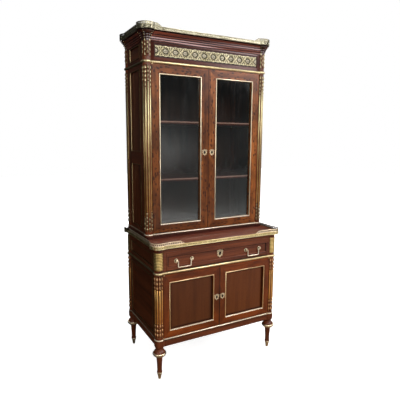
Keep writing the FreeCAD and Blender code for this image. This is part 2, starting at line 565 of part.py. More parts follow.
posts_h, bails = [], {}
yb = FALL_SUNK - BAIL_D
for nm, xc in (("right", BAIL_X), ("left", -BAIL_X)):
    for s in (-1, 1):
        xp = xc + s * BAIL_S / 2.0
        p = fuse([cyly(xp, FALL_SUNK - 2.5, FALL_SUNK, BAIL_Z, 14.0), cyly(xp, FALL_SUNK - 4.5, FALL_SUNK, BAIL_Z, 10.5),
                  cyly(xp, yb, FALL_SUNK, BAIL_Z, 4.5), Part.makeSphere(6.8, V(xp, yb, BAIL_Z))])
        hole = cylx(xp - 8.0, xp + 2.0, yb, BAIL_Z, 2.15) if s > 0 else cylx(xp - 2.0, xp + 8.0, yb, BAIL_Z, 2.15)
        posts_h.append(p.cut(hole))
    xa, xb = xc - BAIL_S / 2.0 + 11.0, xc + BAIL_S / 2.0 - 11.0
    zb = BAIL_Z - BAIL_DROP
    b = [cylx(xa - 10.0, xa, yb, BAIL_Z, 2.1), cylx(xb, xb + 10.0, yb, BAIL_Z, 2.1),
         cyl(xa, yb, zb, BAIL_Z, BAIL_R), cyl(xb, yb, zb, BAIL_Z, BAIL_R), cylx(xa, xb, yb, zb, BAIL_R)]
    b += [Part.makeSphere(BAIL_R, V(x, yb, z)) for x in (xa, xb) for z in (zb, BAIL_Z)]
    bails[nm] = fuse(b)
put("fall_mounts", posts_h, fe)
put("bail_right", bails["right"])
put("bail_left", bails["left"])
print(len([f for f in os.listdir("parts") if f.endswith(".step")]), "files")
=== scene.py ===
import math
import random

import bmesh
import bpy
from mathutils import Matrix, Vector


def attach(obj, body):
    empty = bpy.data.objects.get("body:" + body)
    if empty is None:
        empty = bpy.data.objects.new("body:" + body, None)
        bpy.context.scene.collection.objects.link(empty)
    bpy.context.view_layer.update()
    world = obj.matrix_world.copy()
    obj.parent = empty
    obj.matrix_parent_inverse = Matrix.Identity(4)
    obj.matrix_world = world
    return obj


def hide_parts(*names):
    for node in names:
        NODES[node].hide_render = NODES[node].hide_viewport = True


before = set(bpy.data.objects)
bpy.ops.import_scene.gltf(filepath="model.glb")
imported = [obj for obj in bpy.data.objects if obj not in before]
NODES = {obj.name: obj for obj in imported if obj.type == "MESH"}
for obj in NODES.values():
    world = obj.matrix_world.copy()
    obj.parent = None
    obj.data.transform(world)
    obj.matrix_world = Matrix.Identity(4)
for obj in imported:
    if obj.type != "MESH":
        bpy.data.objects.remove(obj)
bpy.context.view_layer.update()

MM = 0.001
TAU = 2.0 * math.pi


def col(r, g, b):
    """Linear colour from 0..255 display values."""
    out = []
    for c in (r, g, b):
        c /= 255.0
        out.append(c / 12.92 if c <= 0.04045 else ((c + 0.055) / 1.055) ** 2.4)
    return (out[0], out[1], out[2], 1.0)


# ---------------------------------------------------------------- material nets
class Net:
    def __init__(self, name):
        self.mat = bpy.data.materials.new(name)
        self.mat.use_nodes = True
        self.tree = self.mat.node_tree
        self.tree.nodes.clear()
        self.out = self.new("ShaderNodeOutputMaterial")

    def new(self, kind, **props):
        n = self.tree.nodes.new(kind)
        for k, v in props.items():
            setattr(n, k, v)
        return n

    def put(self, socket, value):
        if isinstance(value, bpy.types.NodeSocket):
            self.tree.links.new(value, socket)
        elif value is not None:
            socket.default_value = value

    def math(self, op, a, b=None, c=None, clamp=False):
        n = self.new("ShaderNodeMath", operation=op, use_clamp=clamp)
        for i, v in enumerate((a, b, c)):
            if v is not None:
                self.put(n.inputs[i], v)
        return n.outputs[0]

    def vec(self, op, a, b=None):
        n = self.new("ShaderNodeVectorMath", operation=op)
        self.put(n.inputs[0], a)
        if b is not None:
            self.put(n.inputs[1], b)
        return n.outputs[0]

    def mix(self, fac, a, b, blend="MIX"):
        n = self.new("ShaderNodeMix", data_type="RGBA", blend_type=blend)
        self.put(n.inputs[0], fac)
        self.put(n.inputs[6], a)
        self.put(n.inputs[7], b)
        return n.outputs[2]

    def ramp(self, fac, stops, mode="LINEAR"):
        n = self.new("ShaderNodeValToRGB")
        r = n.color_ramp
        r.interpolation = mode
        while len(r.elements) < len(stops):
            r.elements.new(0.5)
        for e, (p, c) in zip(r.elements, stops):
            e.position = p
            e.color = c if hasattr(c, "__len__") else (c, c, c, 1.0)
        self.put(n.inputs[0], fac)
        return n.outputs[0]

    def noise(self, vector, scale=1.0, detail=3.0, rough=0.5, distort=0.0):
        n = self.new("ShaderNodeTexNoise")
        self.put(n.inputs["Vector"], vector)
        n.inputs["Scale"].default_value = scale
        n.inputs["Detail"].default_value = detail
        n.inputs["Roughness"].default_value = rough
        n.inputs["Distortion"].default_value = distort
        return n

    def coords(self):
        return self.new("ShaderNodeTexCoord").outputs["Object"]

    def split(self, v):
        n = self.new("ShaderNodeSeparateXYZ")
        self.put(n.inputs[0], v)
        return n.outputs

    def join(self, x, y, z):
        n = self.new("ShaderNodeCombineXYZ")
        for i, v in enumerate((x, y, z)):
            self.put(n.inputs[i], v)
        return n.outputs[0]

    def bump(self, height, strength, distance):
        n = self.new("ShaderNodeBump")
        n.inputs["Strength"].default_value = strength
        n.inputs["Distance"].default_value = distance
        self.put(n.inputs["Height"], height)
        return n.outputs[0]

    def surface(self, **inputs):
        n = self.new("ShaderNodeBsdfPrincipled")
        for k, v in inputs.items():
            self.put(n.inputs[k.replace("_", " ")], v)
        self.tree.links.new(n.outputs[0], self.out.inputs["Surface"])
        return n


def grain(n, axis, seed, wander=0.016):
    """Object coordinates turned so that the grain runs along z, gently wandering."""
    x, y, z = n.split(n.coords())
    p = {"X": (y, z, x), "Y": (x, z, y), "Z": (x, y, z)}[axis]
    p = n.join(*p)
    p = n.vec("ADD", p, (seed * 1.37, seed * 2.11, seed * 0.73))
    w = n.noise(n.vec("MULTIPLY", p, (5.0, 5.0, 1.6)), detail=2.0)
    w = n.vec("SUBTRACT", w.outputs["Color"], (0.5, 0.5, 0.5))
    return n.vec("ADD", p, n.vec("MULTIPLY", w, (wander, wander, 0.0)))


def wood_tone(n, p, dark, mid, light, band, streak, pore, fleck, fleck_col):
    """Colour, fine height and streak value of a wood whose grain runs along z of p."""
    a = n.noise(n.vec("MULTIPLY", p, (band, band, band * 0.055)), detail=3.0, rough=0.55).outputs[0]
    b = n.noise(n.vec("MULTIPLY", p, (streak, streak, streak * 0.03)), detail=4.0, rough=0.62).outputs[0]
    c = n.noise(n.vec("MULTIPLY", p, (1100.0, 1100.0, 55.0)), detail=1.0).outputs[0]
    t = n.math("ADD", n.math("MULTIPLY", a, 0.58), n.math("MULTIPLY", b, 0.42))
    base = n.ramp(t, [(0.34, dark), (0.50, mid), (0.66, light)])
    pores = n.ramp(c, [(0.56, 0.0), (0.66, 1.0)])
    base = n.mix(n.math("MULTIPLY", pores, pore), base, tuple(q * 0.35 for q in dark[:3]) + (1.0,))
    if fleck > 0.0:
        q = n.vec("ADD", p, n.vec("MULTIPLY", n.vec("SUBTRACT", n.noise(p, scale=70.0, detail=2.0).outputs["Color"], (0.5, 0.5, 0.5)),
                                  (0.010, 0.010, 0.020)))
        vo = n.new("ShaderNodeTexVoronoi")
        n.put(vo.inputs["Vector"], n.vec("MULTIPLY", q, (66.0, 66.0, 33.0)))
        vo.inputs["Scale"].default_value = 1.0
        size = n.split(vo.outputs["Color"])[0]
        d = n.math("SUBTRACT", vo.outputs["Distance"], n.math("MULTIPLY", size, 0.30))
        d = n.ramp(d, [(0.04, 1.0), (0.20, 0.0)])
        e = n.noise(n.vec("MULTIPLY", p, (15.0, 15.0, 7.0)), detail=2.0).outputs[0]
        base = n.mix(n.ramp(e, [(0.42, 0.0), (0.60, 0.60)]), base, tuple(w * 0.55 for w in dark[:3]) + (1.0,))
        base = n.mix(n.math("MULTIPLY", d, fleck), base, fleck_col)
    h = n.math("SUBTRACT", n.math("MULTIPLY", b, 0.5), n.math("MULTIPLY", pores, 0.5))
    return base, h, b


def wood(name, dark, mid, light, axis, seed=1.0, band=24.0, streak=190.0, pore=0.45, fleck=0.0,
         fleck_col=(0.01, 0.005, 0.003, 1.0), rough=0.34, coat=0.06, bump=0.10, wander=0.016, spec=0.30, corner=None,
         tint=(1.0, 1.0, 1.0, 1.0), ends=None):
    """Straight-grained wood; corner is |x| and z in metres of a rectangle whose inside edges are darkened as painted
    shade in the recess.

    ends is two |x| in metres over which the colour turns darker and the sheen weaker, staying so further out: painted
    shade next to the columns.
    """
    n = Net(name)
    p = grain(n, axis, seed, wander)
    base, h, b = wood_tone(n, p, dark, mid, light, band, streak, pore, fleck, fleck_col)
    # painted shade: the colour darkens towards the inside edges of the corner rectangle
    if corner:
        x, y, z = n.split(n.coords())
        ax = n.math("ABSOLUTE", x)
        d = n.math("MINIMUM", n.math("MINIMUM", n.math("SUBTRACT", ax, corner[0]), n.math("SUBTRACT", corner[1], ax)),
                   n.math("MINIMUM", n.math("SUBTRACT", z, corner[2]), n.math("SUBTRACT", corner[3], z)))
        base = n.mix(n.ramp(n.math("MULTIPLY", d, 50.0), [(0.10, 0.95), (0.70, 0.0)]), base, tuple(q * 0.22 for q in dark[:3]) + (1.0,))
    # painted shade: darker colour, less coat and less sheen towards the ends
    if ends:
        e = n.math("DIVIDE", n.math("SUBTRACT", n.math("ABSOLUTE", n.split(n.coords())[0]), ends[0]), ends[1] - ends[0], clamp=True)
        base = n.mix(n.math("MULTIPLY", e, 0.40), base, tuple(q * 0.4 for q in dark[:3]) + (1.0,))
        coat = n.math("MULTIPLY_ADD", e, -0.9 * coat, coat)
        spec = n.math("MULTIPLY_ADD", e, -0.85 * spec, spec)
    r = n.math("MULTIPLY_ADD", b, 0.14, rough - 0.07)
    n.surface(Base_Color=base, Roughness=r, Normal=n.bump(h, bump, 0.0004), Coat_Weight=coat,
              Coat_Roughness=0.15, Specular_IOR_Level=spec, Specular_Tint=tint)
    return n.mat


def mitred_wood(name, dark, mid, light, rect, seed=3.0, fleck=0.0, fleck_col=(0.01, 0.005, 0.003, 1.0), rough=0.30,
                rail=1.08, band=26.0, streak=190.0, spec=0.30, coat=0.06, worn=0.0, lean=0.0):
    """Frame wood whose grain turns at the mitres; rect is |x| and z of the outer edges, worn the dark of the meeting
    edge, in metres, lean how much paler it gets per metre to the right, as painted sheen.
    """
    n = Net(name)
    x, y, z = n.split(n.coords())
    ax = n.math("ABSOLUTE", x)
    x0, x1, z0, z1 = rect
    dv = n.math("MINIMUM", n.math("SUBTRACT", ax, x0), n.math("SUBTRACT", x1, ax))
    dh = n.math("MINIMUM", n.math("SUBTRACT", z, z0), n.math("SUBTRACT", z1, z))
    m = n.math("LESS_THAN", dh, dv)
    seam = n.math("LESS_THAN", n.math("ABSOLUTE", n.math("SUBTRACT", dh, dv)), 0.0006)
    bv, hv, sv = wood_tone(n, grain(n, "Z", seed), dark, mid, light, band, streak, 0.45, fleck, fleck_col)
    bh, hh, sh = wood_tone(n, grain(n, "X", seed + 4.0), tuple(q * rail for q in dark), tuple(q * rail for q in mid),
                           tuple(q * rail for q in light), band, streak, 0.45, fleck, fleck_col)
    base = n.mix(m, bv, bh)
    base = n.mix(n.math("MULTIPLY", seam, 0.55), base, (0.012, 0.005, 0.003, 1.0))
    if worn > 0.0:
        base = n.mix(n.math("MULTIPLY", n.math("LESS_THAN", ax, x0 + worn), 0.78), base, (0.012, 0.005, 0.003, 1.0))
    # painted sheen: the colour grows paler towards the right
    if lean > 0.0:
        f = n.math("MULTIPLY_ADD", x, lean, 1.03)
        base = n.mix(1.0, base, n.join(f, f, f), "MULTIPLY")
    mixf = n.new("ShaderNodeMix", data_type="FLOAT")
    n.put(mixf.inputs[0], m)
    n.put(mixf.inputs[2], hv)
    n.put(mixf.inputs[3], hh)
    r = n.math("MULTIPLY_ADD", sv, 0.14, rough - 0.07)
    n.surface(Base_Color=base, Roughness=r, Normal=n.bump(mixf.outputs[0], 0.10, 0.0004), Coat_Weight=coat,
              Coat_Roughness=0.15, Specular_IOR_Level=spec)
    return n.mat


def brass(name, light, deep, dark, rough=0.24, grime=0.35, metal=1.0, low=None):
    """Gilt brass: cloudy tone, fine rubbing, dark where the per-point attribute says: tarnish in hollows, and on some
    pieces painted shade or painted reflection.

    low is z0, z1, light, deep: another tone below z0, blending into the main one at z1.
    """
    n = Net(name)
    p = n.coords()
    big = n.noise(n.vec("MULTIPLY", p, (26.0, 26.0, 26.0)), detail=3.0, rough=0.6).outputs[0]
    fine = n.noise(n.vec("MULTIPLY", p, (520.0, 520.0, 520.0)), detail=3.0, rough=0.6).outputs[0]
    t = n.ramp(big, [(0.30, 0.1), (0.70, 0.9)])
    base = n.mix(t, light, deep)
    if low:
        fac = n.math("DIVIDE", n.math("SUBTRACT", n.split(p)[2], low[0]), low[1] - low[0], clamp=True)
        base = n.mix(fac, n.mix(t, low[2], low[3]), base)
    # the attribute darkens the brass: tarnish in hollows and, where a piece sets it so, painted shade or painted
    # reflection
    att = n.new("ShaderNodeAttribute", attribute_name="patina_and_shade").outputs["Fac"]
    spots = n.ramp(n.math("MULTIPLY", big, fine), [(0.22, 0.0), (0.36, 1.0)])
    g = n.math("ADD", att, n.math("MULTIPLY", spots, grime * 0.35), clamp=True)
    base = n.mix(g, base, dark)
    r = n.math("ADD", n.math("MULTIPLY_ADD", fine, 0.10, rough - 0.05), n.math("MULTIPLY", g, 0.22))
    n.surface(Base_Color=base, Metallic=metal, Roughness=r, Normal=n.bump(fine, 0.03, 0.0003))
    return n.mat


def leather(name, tone, deep, gilt, rect):
    """Dark leather with fine pebbling and a double gilt line; rect is x0, x1, b0, b1 and the second axis."""
    n = Net(name)
    p = n.coords()
    x, y, z = n.split(p)
    v = n.new("ShaderNodeTexVoronoi", feature="DISTANCE_TO_EDGE")
    n.put(v.inputs["Vector"], p)
    v.inputs["Scale"].default_value = 620.0
    cells = n.ramp(v.outputs["Distance"], [(0.02, 0.0), (0.20, 1.0)])
    big = n.noise(n.vec("MULTIPLY", p, (9.0, 9.0, 9.0)), detail=4.0).outputs[0]
    base = n.mix(n.ramp(big, [(0.35, 0.0), (0.65, 1.0)]), tone, deep)
    base = n.mix(n.math("MULTIPLY", n.math("SUBTRACT", 1.0, cells), 0.4), base, tuple(q * 0.4 for q in deep[:3]) + (1.0,))
    x0, x1, b0, b1, which = rect
    s = {"y": y, "z": z}[which]
    d = n.math("MINIMUM", n.math("MINIMUM", n.math("SUBTRACT", x, x0), n.math("SUBTRACT", x1, x)),
               n.math("MINIMUM", n.math("SUBTRACT", s, b0), n.math("SUBTRACT", b1, s)))
    l1 = n.math("LESS_THAN", n.math("ABSOLUTE", n.math("SUBTRACT", d, 0.010)), 0.0012)
    l2 = n.math("LESS_THAN", n.math("ABSOLUTE", n.math("SUBTRACT", d, 0.0150)), 0.0004)
    worn = n.ramp(n.noise(n.vec("MULTIPLY", p, (90.0, 90.0, 90.0)), detail=2.0).outputs[0], [(0.30, 0.35), (0.45, 1.0)])
    line = n.math("MULTIPLY", n.math("MAXIMUM", l1, l2), worn)
    base = n.mix(line, base, gilt)
    n.surface(Base_Color=base, Roughness=n.math("MULTIPLY_ADD", big, 0.2, 0.38), Normal=n.bump(cells, 0.22, 0.0004),
              Metallic=n.math("MULTIPLY", line, 0.85))
    return n.mat


def steel(name, tone):
    n = Net(name)
    p = n.coords()
    s = n.noise(n.vec("MULTIPLY", p, (60.0, 900.0, 900.0)), detail=3.0, rough=0.6).outputs[0]
    big = n.noise(n.vec("MULTIPLY", p, (70.0, 70.0, 70.0)), detail=3.0).outputs[0]
    base = n.mix(n.ramp(big, [(0.38, 0.0), (0.66, 1.0)]), tone, tuple(q * 0.55 for q in tone[:3]) + (1.0,))
    n.surface(Base_Color=base, Metallic=1.0, Roughness=n.math("MULTIPLY_ADD", s, 0.25, 0.25), Normal=n.bump(s, 0.08, 0.0003))
    return n.mat


def glass(name, head=1.0):
    """Thin old glass: clear, a little wavy, mirror-like by the angle of sight; head scales the reflection above the top
    shelf, a painted difference in reflection.
    """
    n = Net(name)
    p = n.coords()
    w = n.noise(n.vec("MULTIPLY", p, (9.0, 9.0, 4.0)), detail=2.0).outputs[0]
    dust = n.noise(n.vec("MULTIPLY", p, (22.0, 22.0, 7.0)), detail=5.0, rough=0.65).outputs[0]
    nor = n.bump(w, 0.25, 0.004)
    fr = n.new("ShaderNodeFresnel")
    fr.inputs["IOR"].default_value = 1.52
    n.put(fr.inputs["Normal"], nor)
    clear = n.new("ShaderNodeBsdfTransparent")
    clear.inputs["Color"].default_value = (0.86, 0.89, 0.88, 1.0)
    gl = n.new("ShaderNodeBsdfGlossy")
    gl.inputs["Color"].default_value = (0.95, 0.97, 0.97, 1.0)
    n.put(gl.inputs["Roughness"], n.ramp(dust, [(0.35, 0.03), (0.75, 0.16)]))
    n.put(gl.inputs["Normal"], nor)
    ms = n.new("ShaderNodeMixShader")
    # painted reflection: the mix towards the mirror is scaled by head above the top shelf
    up = n.math("DIVIDE", n.math("SUBTRACT", n.split(p)[2], 1.60), 0.12, clamp=True)
    sheen = n.math("MULTIPLY_ADD", up, head - 1.0, 1.0)
    n.put(ms.inputs[0], n.math("MULTIPLY", n.math("MULTIPLY_ADD", fr.outputs[0], 2.6, 0.02), sheen, clamp=True))
    n.tree.links.new(clear.outputs[0], ms.inputs[1])
    n.tree.links.new(gl.outputs[0], ms.inputs[2])
    n.tree.links.new(ms.outputs[0], n.out.inputs["Surface"])
    return n.mat


def hollow_dark(name):
    """Unlit depth of a keyhole."""
    n = Net(name)
    f = n.noise(n.vec("MULTIPLY", n.coords(), (400.0, 400.0, 400.0)), detail=2.0).outputs[0]
    n.surface(Base_Color=n.mix(f, (0.004, 0.003, 0.002, 1.0), (0.012, 0.008, 0.005, 1.0)), Roughness=0.8)
    return n.mat


RED = (col(56, 24, 12), col(92, 45, 24), col(120, 63, 36))
SIDE = (col(44, 20, 10), col(72, 36, 19), col(94, 50, 28))
FIG = (col(70, 34, 13), col(121, 67, 29), col(162, 97, 46))
DOORL = (col(76, 31, 8), col(104, 47, 14), col(123, 60, 20))
PANEL = (col(77, 37, 13), col(90, 45, 16), col(97, 50, 20))
TOPC = (col(80, 34, 23), col(112, 54, 36), col(134, 70, 49))
INNER = (col(44, 23, 14), col(68, 37, 24), col(88, 51, 33))

M = {}
for ax in "XYZ":
    k = {"X": 1.0, "Y": 2.0, "Z": 3.0}[ax]
    M["mahogany_" + ax] = wood("mahogany_" + ax, *RED, ax, seed=k, spec=0.26)
    M["side_" + ax] = wood("side_mahogany_" + ax, *SIDE, ax, seed=k + 10.0, rough=0.36, coat=0.0, spec=0.18)
    M["inner_" + ax] = wood("inner_wood_" + ax, *INNER, ax, seed=k + 30.0, rough=0.5, coat=0.0)
# both cupboard panels get painted shade along their inside edges through corner
M["panel"] = wood("panel_mahogany", *PANEL, "Z", seed=44.0, band=30.0, streak=150.0, pore=0.35, spec=0.22,
                  corner=(0.0505, 0.3605, 0.324, 0.6345))
# darker copy of the panel wood for the left cupboard door: painted shade
M["shaded_panel_left"] = wood("shaded_left_panel_mahogany", col(65, 31, 11), col(77, 38, 14), col(84, 43, 17), "Z", seed=47.0, band=30.0, streak=150.0, pore=0.35,
                       spec=0.22, corner=(0.0505, 0.3605, 0.324, 0.6345))
M["top"] = wood("top_mahogany", *TOPC, "X", seed=52.0, band=20.0, rough=0.30, coat=0.12)
M["cornice"] = wood("cornice_mahogany", col(54, 22, 13), col(88, 38, 23), col(112, 52, 33), "X", seed=61.0, rough=0.23, coat=0.0,
                    spec=0.44, tint=(1.0, 0.80, 0.78, 1.0))
M["top_board"] = wood("top_board_mahogany", col(48, 21, 13), col(74, 35, 21), col(94, 48, 30), "X", seed=64.0, rough=0.58, coat=0.0, spec=0.15)
# the frieze board gets painted shade at its ends beside the columns
M["frieze_wood"] = wood("frieze_mahogany", col(46, 20, 14), col(74, 34, 24), col(94, 46, 33), "X", seed=66.0, rough=0.25, coat=0.08,
                        spec=0.28, ends=(0.379, 0.383))
# darker copy of the cornice wood for the bulged corners: painted shade
M["shaded_corbel"] = wood("shaded_corbel_mahogany", col(38, 16, 10), col(64, 28, 18), col(86, 40, 26), "Z", seed=63.0, rough=0.22, coat=0.25, spec=0.42)
# dark wood for the frieze recess floor: painted shade
M["margin"] = wood("margin_mahogany", col(36, 16, 11), col(58, 27, 19), col(76, 37, 27), "X", seed=69.0, rough=0.4, coat=0.0, spec=0.25)
# near-black wood for sunken grooves: painted shade
M["groove_shade"] = wood("groove_shade_mahogany", col(22, 10, 7), col(34, 16, 11), col(46, 23, 16), "X", seed=67.0, rough=0.5, coat=0.0, spec=0.2)
# lighter wood for the bottom cove of the drawer moulding: painted highlight
M["edge"] = wood("lit_edge_mahogany", col(70, 32, 18), col(112, 58, 34), col(140, 78, 48), "X", seed=68.0, rough=0.28, coat=0.1)
M["shelf"] = wood("shelf_wood", col(76, 33, 25), col(108, 50, 38), col(132, 66, 50), "X", seed=91.0, rough=0.42, coat=0.0)
# near-white pink wood for the shelf fronts: painted highlight
M["shelf_edge"] = wood("shelf_edge_wood", col(206, 140, 124), col(242, 182, 166), col(252, 206, 190), "X", seed=93.0, rough=0.34)
# the bookcase door frames get painted sheen towards the right through lean
M["bookcase_frame"] = mitred_wood("figured_mahogany", *FIG, (0.001, 0.4015, 0.916, 1.971), seed=24.0, fleck=0.92,
                                  fleck_col=col(46, 21, 10), rough=0.34, rail=1.12, band=18.0, streak=130.0, spec=0.32, worn=0.0015, lean=0.40)
M["cupboard_frame"] = mitred_wood("mitred_mahogany", *DOORL, (0.001, 0.4085, 0.276, 0.691), seed=71.0, fleck=0.25,
                                  fleck_col=col(56, 26, 14), rail=1.24, spec=0.22, coat=0.03, worn=0.003)
M["plinth"] = wood("plinth_mahogany", col(34, 14, 10), col(56, 24, 17), col(74, 34, 25), "X", seed=73.0, rough=0.40, coat=0.0, spec=0.20)
M["back"] = wood("back_boards", col(58, 36, 24), col(92, 60, 40), col(118, 82, 56), "Z", seed=81.0, rough=0.62, coat=0.0, bump=0.25)
M["brass"] = brass("gilt_brass", col(240, 220, 170), col(226, 202, 148), col(62, 50, 26), rough=0.31)
M["brass_bright"] = brass("bright_brass", col(248, 234, 206), col(236, 218, 180), col(70, 56, 32), rough=0.29)
M["brass_plate"] = brass("plate_brass", col(234, 208, 142), col(212, 182, 112), col(58, 42, 18), rough=0.40)
M["brass_frieze"] = brass("frieze_brass", col(212, 205, 176), col(190, 181, 144), col(24, 20, 10), rough=0.36)
M["brass_disc"] = brass("disc_brass", col(184, 179, 160), col(156, 150, 130), col(30, 25, 17), rough=0.34)
M["brass_rim"] = brass("rim_brass", col(250, 236, 186), col(232, 214, 156), col(60, 50, 30), rough=0.30)
M["brass_top"] = brass("top_rim_brass", col(210, 207, 184), col(186, 181, 152), col(56, 52, 38), rough=0.30)
M["brass_rod"] = brass("rod_brass", col(170, 164, 127), col(149, 141, 102), col(58, 48, 25), rough=0.32,
                       low=(1.20, 1.70, col(208, 171, 112), col(188, 148, 89)))
M["brass_warm"] = brass("warm_brass", col(255, 208, 128), col(242, 178, 96), col(80, 52, 22), rough=0.34)
M["brass_husk"] = brass("husk_brass", col(190, 180, 144), col(168, 154, 114), col(70, 60, 34), rough=0.34)
M["brass_handle"] = brass("handle_brass", col(255, 246, 224), col(246, 232, 204), col(70, 56, 32), rough=0.27, metal=0.65)
M["brass_cream"] = brass("cream_brass", col(236, 221, 178), col(216, 198, 144), col(60, 50, 28), rough=0.30)
M["brass_bead"] = brass("bead_brass", col(255, 228, 182), col(244, 208, 154), col(60, 40, 20), rough=0.29)
M["brass_low_husk"] = brass("warm_husk_brass", col(252, 208, 156), col(230, 174, 116), col(98, 58, 24), rough=0.34)
M["brass_gallery"] = brass("gallery_brass", col(250, 234, 206), col(232, 210, 174), col(44, 32, 18), rough=0.36, metal=0.7)
M["brass_top_gallery"] = brass("top_gallery_brass", col(206, 202, 176), col(176, 170, 140), col(44, 40, 26), rough=0.36)
M["brass_pale"] = brass("pale_brass", col(240, 226, 194), col(222, 202, 162), col(44, 32, 18), rough=0.28, metal=0.8)
M["steel"] = steel("lock_steel", (0.42, 0.41, 0.39, 1.0))
M["glass"] = glass("pane_glass")
# the right pane reflects less above the top shelf: painted reflection
M["glass_right"] = glass("right_pane_glass", 0.45)
M["keyhole"] = hollow_dark("keyhole_depth")
M["leather_desk"] = leather("desk_leather", col(74, 28, 22), col(52, 18, 15), col(190, 150, 80), (-0.355, 0.355, -0.2175, 0.0475, "y"))
M["leather_fall"] = leather("fall_leather_skin", col(74, 28, 22), col(52, 18, 15), col(190, 150, 80), (-0.350, 0.350, 0.722, 0.782, "z"))


# ---------------------------------------------------------------- mesh building, in millimetres
class Geo:
    def __init__(self):
        self.v, self.f, self.m, self.a = [], [], [], []

    def add(self, v, f, mat=0, patina_and_shade=0.0):
        b = len(self.v)
        self.v += [tuple(q) for q in v]
        self.f += [tuple(i + b for i in q) for q in f]
        self.m += [mat] * len(f)
        self.a += list(patina_and_shade) if hasattr(patina_and_shade, "__len__") else [patina_and_shade] * len(v)

    def make(self, name, body, slot, mats, nodes=(), angle=38.0):
        me = bpy.data.meshes.new(name)
        me.from_pydata([(x * MM, y * MM, z * MM) for x, y, z in self.v], [], self.f)
        me.polygons.foreach_set("material_index", self.m)
        me.polygons.foreach_set("use_smooth", [True] * len(self.f))
        # per-point darkening for the brass: tarnish, and on some pieces painted shade or painted reflection
        at = me.attributes.new("patina_and_shade", "FLOAT", "POINT")
        at.data.foreach_set("value", self.a)
        bm = bmesh.new()
        bm.from_mesh(me)
        bmesh.ops.recalc_face_normals(bm, faces=bm.faces)
        bm.to_mesh(me)
        bm.free()
        for m in mats:
            me.materials.append(M[m])
        me.set_sharp_from_angle(angle=math.radians(angle))
        me.update()
        ob = bpy.data.objects.new(name, me)
        bpy.context.scene.collection.objects.link(ob)
        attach(ob, body)
        if nodes:
            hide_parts(*nodes)
        return ob


def loft(geo, rings, mat=0, patina_and_shade=0.0, cap=True, rounded=True):
    """Skin over rings of equal count; rounded closes each ring on itself."""
    k = len(rings[0])
    v = [p for r in rings for p in r]
    f = []
    for i in range(len(rings) - 1):
        for j in range(k if rounded else k - 1):
            j2 = (j + 1) % k
            f.append((i * k + j, i * k + j2, (i + 1) * k + j2, (i + 1) * k + j))
    if cap:
        f.append(tuple(reversed(range(k))))
        f.append(tuple(range((len(rings) - 1) * k, len(rings) * k)))
    geo.add(v, f, mat, patina_and_shade)


def lathe(geo, prof, place, n=40, mat=0, patina_and_shade=0.0, wave=None):
    """Turned form; prof is (radius, height), place maps local x, y, height to the frame."""
    v, f, a, rows = [], [], [], []
    pat = patina_and_shade if hasattr(patina_and_shade, "__len__") else [patina_and_shade] * len(prof)
    for i, (r, h) in enumerate(prof):
        if r < 1e-6:
            rows.append([len(v)])
            v.append(place(0.0, 0.0, h))
            a.append(pat[i])
            continue
        row = []
        for j in range(n):
            t = TAU * j / n
            q = r * (wave(t, i) if wave else 1.0)
            row.append(len(v))
            v.append(place(q * math.cos(t), q * math.sin(t), h))
            a.append(pat[i])
        rows.append(row)
    for r0, r1 in zip(rows, rows[1:]):
        for j in range(n):
            j2 = (j + 1) % n
            if len(r0) == 1 and len(r1) == 1:
                continue
            if len(r0) == 1:
                f.append((r0[0], r1[j2], r1[j]))
            elif len(r1) == 1:
                f.append((r0[j], r0[j2], r1[0]))
            else:
                f.append((r0[j], r0[j2], r1[j2], r1[j]))
    if len(rows[0]) > 1:
        f.append(tuple(reversed(rows[0])))
    if len(rows[-1]) > 1:
        f.append(tuple(rows[-1]))
    geo.add(v, f, mat, a)


def smooth(pts, k=5):
    """Catmull-Rom points through pts."""
    out = []
    n = len(pts)
    for i in range(n - 1):
        p0, p1, p2, p3 = pts[max(i - 1, 0)], pts[i], pts[i + 1], pts[min(i + 2, n - 1)]
        for s in range(k):
            t = s / k
            out.append(tuple(0.5 * (2 * b + (c - a) * t + (2 * a - 5 * b + 4 * c - d) * t * t + (3 * b - a - 3 * c + d) * t ** 3)
                             for a, b, c, d in zip(p0, p1, p2, p3)))
    out.append(tuple(pts[-1]))
    return out


def tube(geo, path, radii, n=12, mat=0, patina_and_shade=0.0):
    """Round bar along a path of points, with closed ends."""
    pts = [Vector(p) for p in path]
    rings, up = [], None
    for i, p in enumerate(pts):
        t = (pts[min(i + 1, len(pts) - 1)] - pts[max(i - 1, 0)]).normalized()
        if up is None:
            up = t.orthogonal().normalized()
        up = (up - t * up.dot(t)).normalized()
        side = t.cross(up)
        r = radii[i] if hasattr(radii, "__len__") else radii
        rings.append([tuple(p + (up * math.cos(TAU * j / n) + side * math.sin(TAU * j / n)) * r) for j in range(n)])
    loft(geo, rings, mat, patina_and_shade)


# plan outlines of the two stages
LOW = dict(xs=449.0, yf=-263.5, a=430.0, cf=-244.5, cr=254.5)
UPP = dict(xs=442.0, yf=-90.5, a=423.0, cf=-71.5, cr=254.5)
BACK_CASE, BACK_TOP = 282.0, 298.5


def half_path(s, o, b, yback, n=24):
    """Right half of a plan outline from the front bulge to the back."""
    xs, yf, a, cf, cr = s["xs"] + o, s["yf"] - o, s["a"], s["cf"], s["cr"]
    dy = yf - cf
    dx = math.sqrt(max(b * b - dy * dy, 0.0))
    t0 = math.atan2(dy, -dx)
    ex = xs - a
    ey = math.sqrt(max(b * b - ex * ex, 0.0))
    t1 = math.atan2(ey, ex)
    t3 = math.asin(max(-1.0, min(1.0, (yback - cr) / b)))
    pts = []
    for i in range(n + 1):
        t = t0 + (t1 - t0) * i / n
        pts.append((a + b * math.cos(t), cf + b * math.sin(t)))
    m = max(n // 2, 6)
    for i in range(m + 1):
        t = -t1 + (t3 + t1) * i / m
        pts.append((a + b * math.cos(t), cr + b * math.sin(t)))
    return pts


def full_path(s, o, b, yback, n=24):
    h = half_path(s, o, b, yback, n)
    return [(-x, y) for x, y in reversed(h)] + h


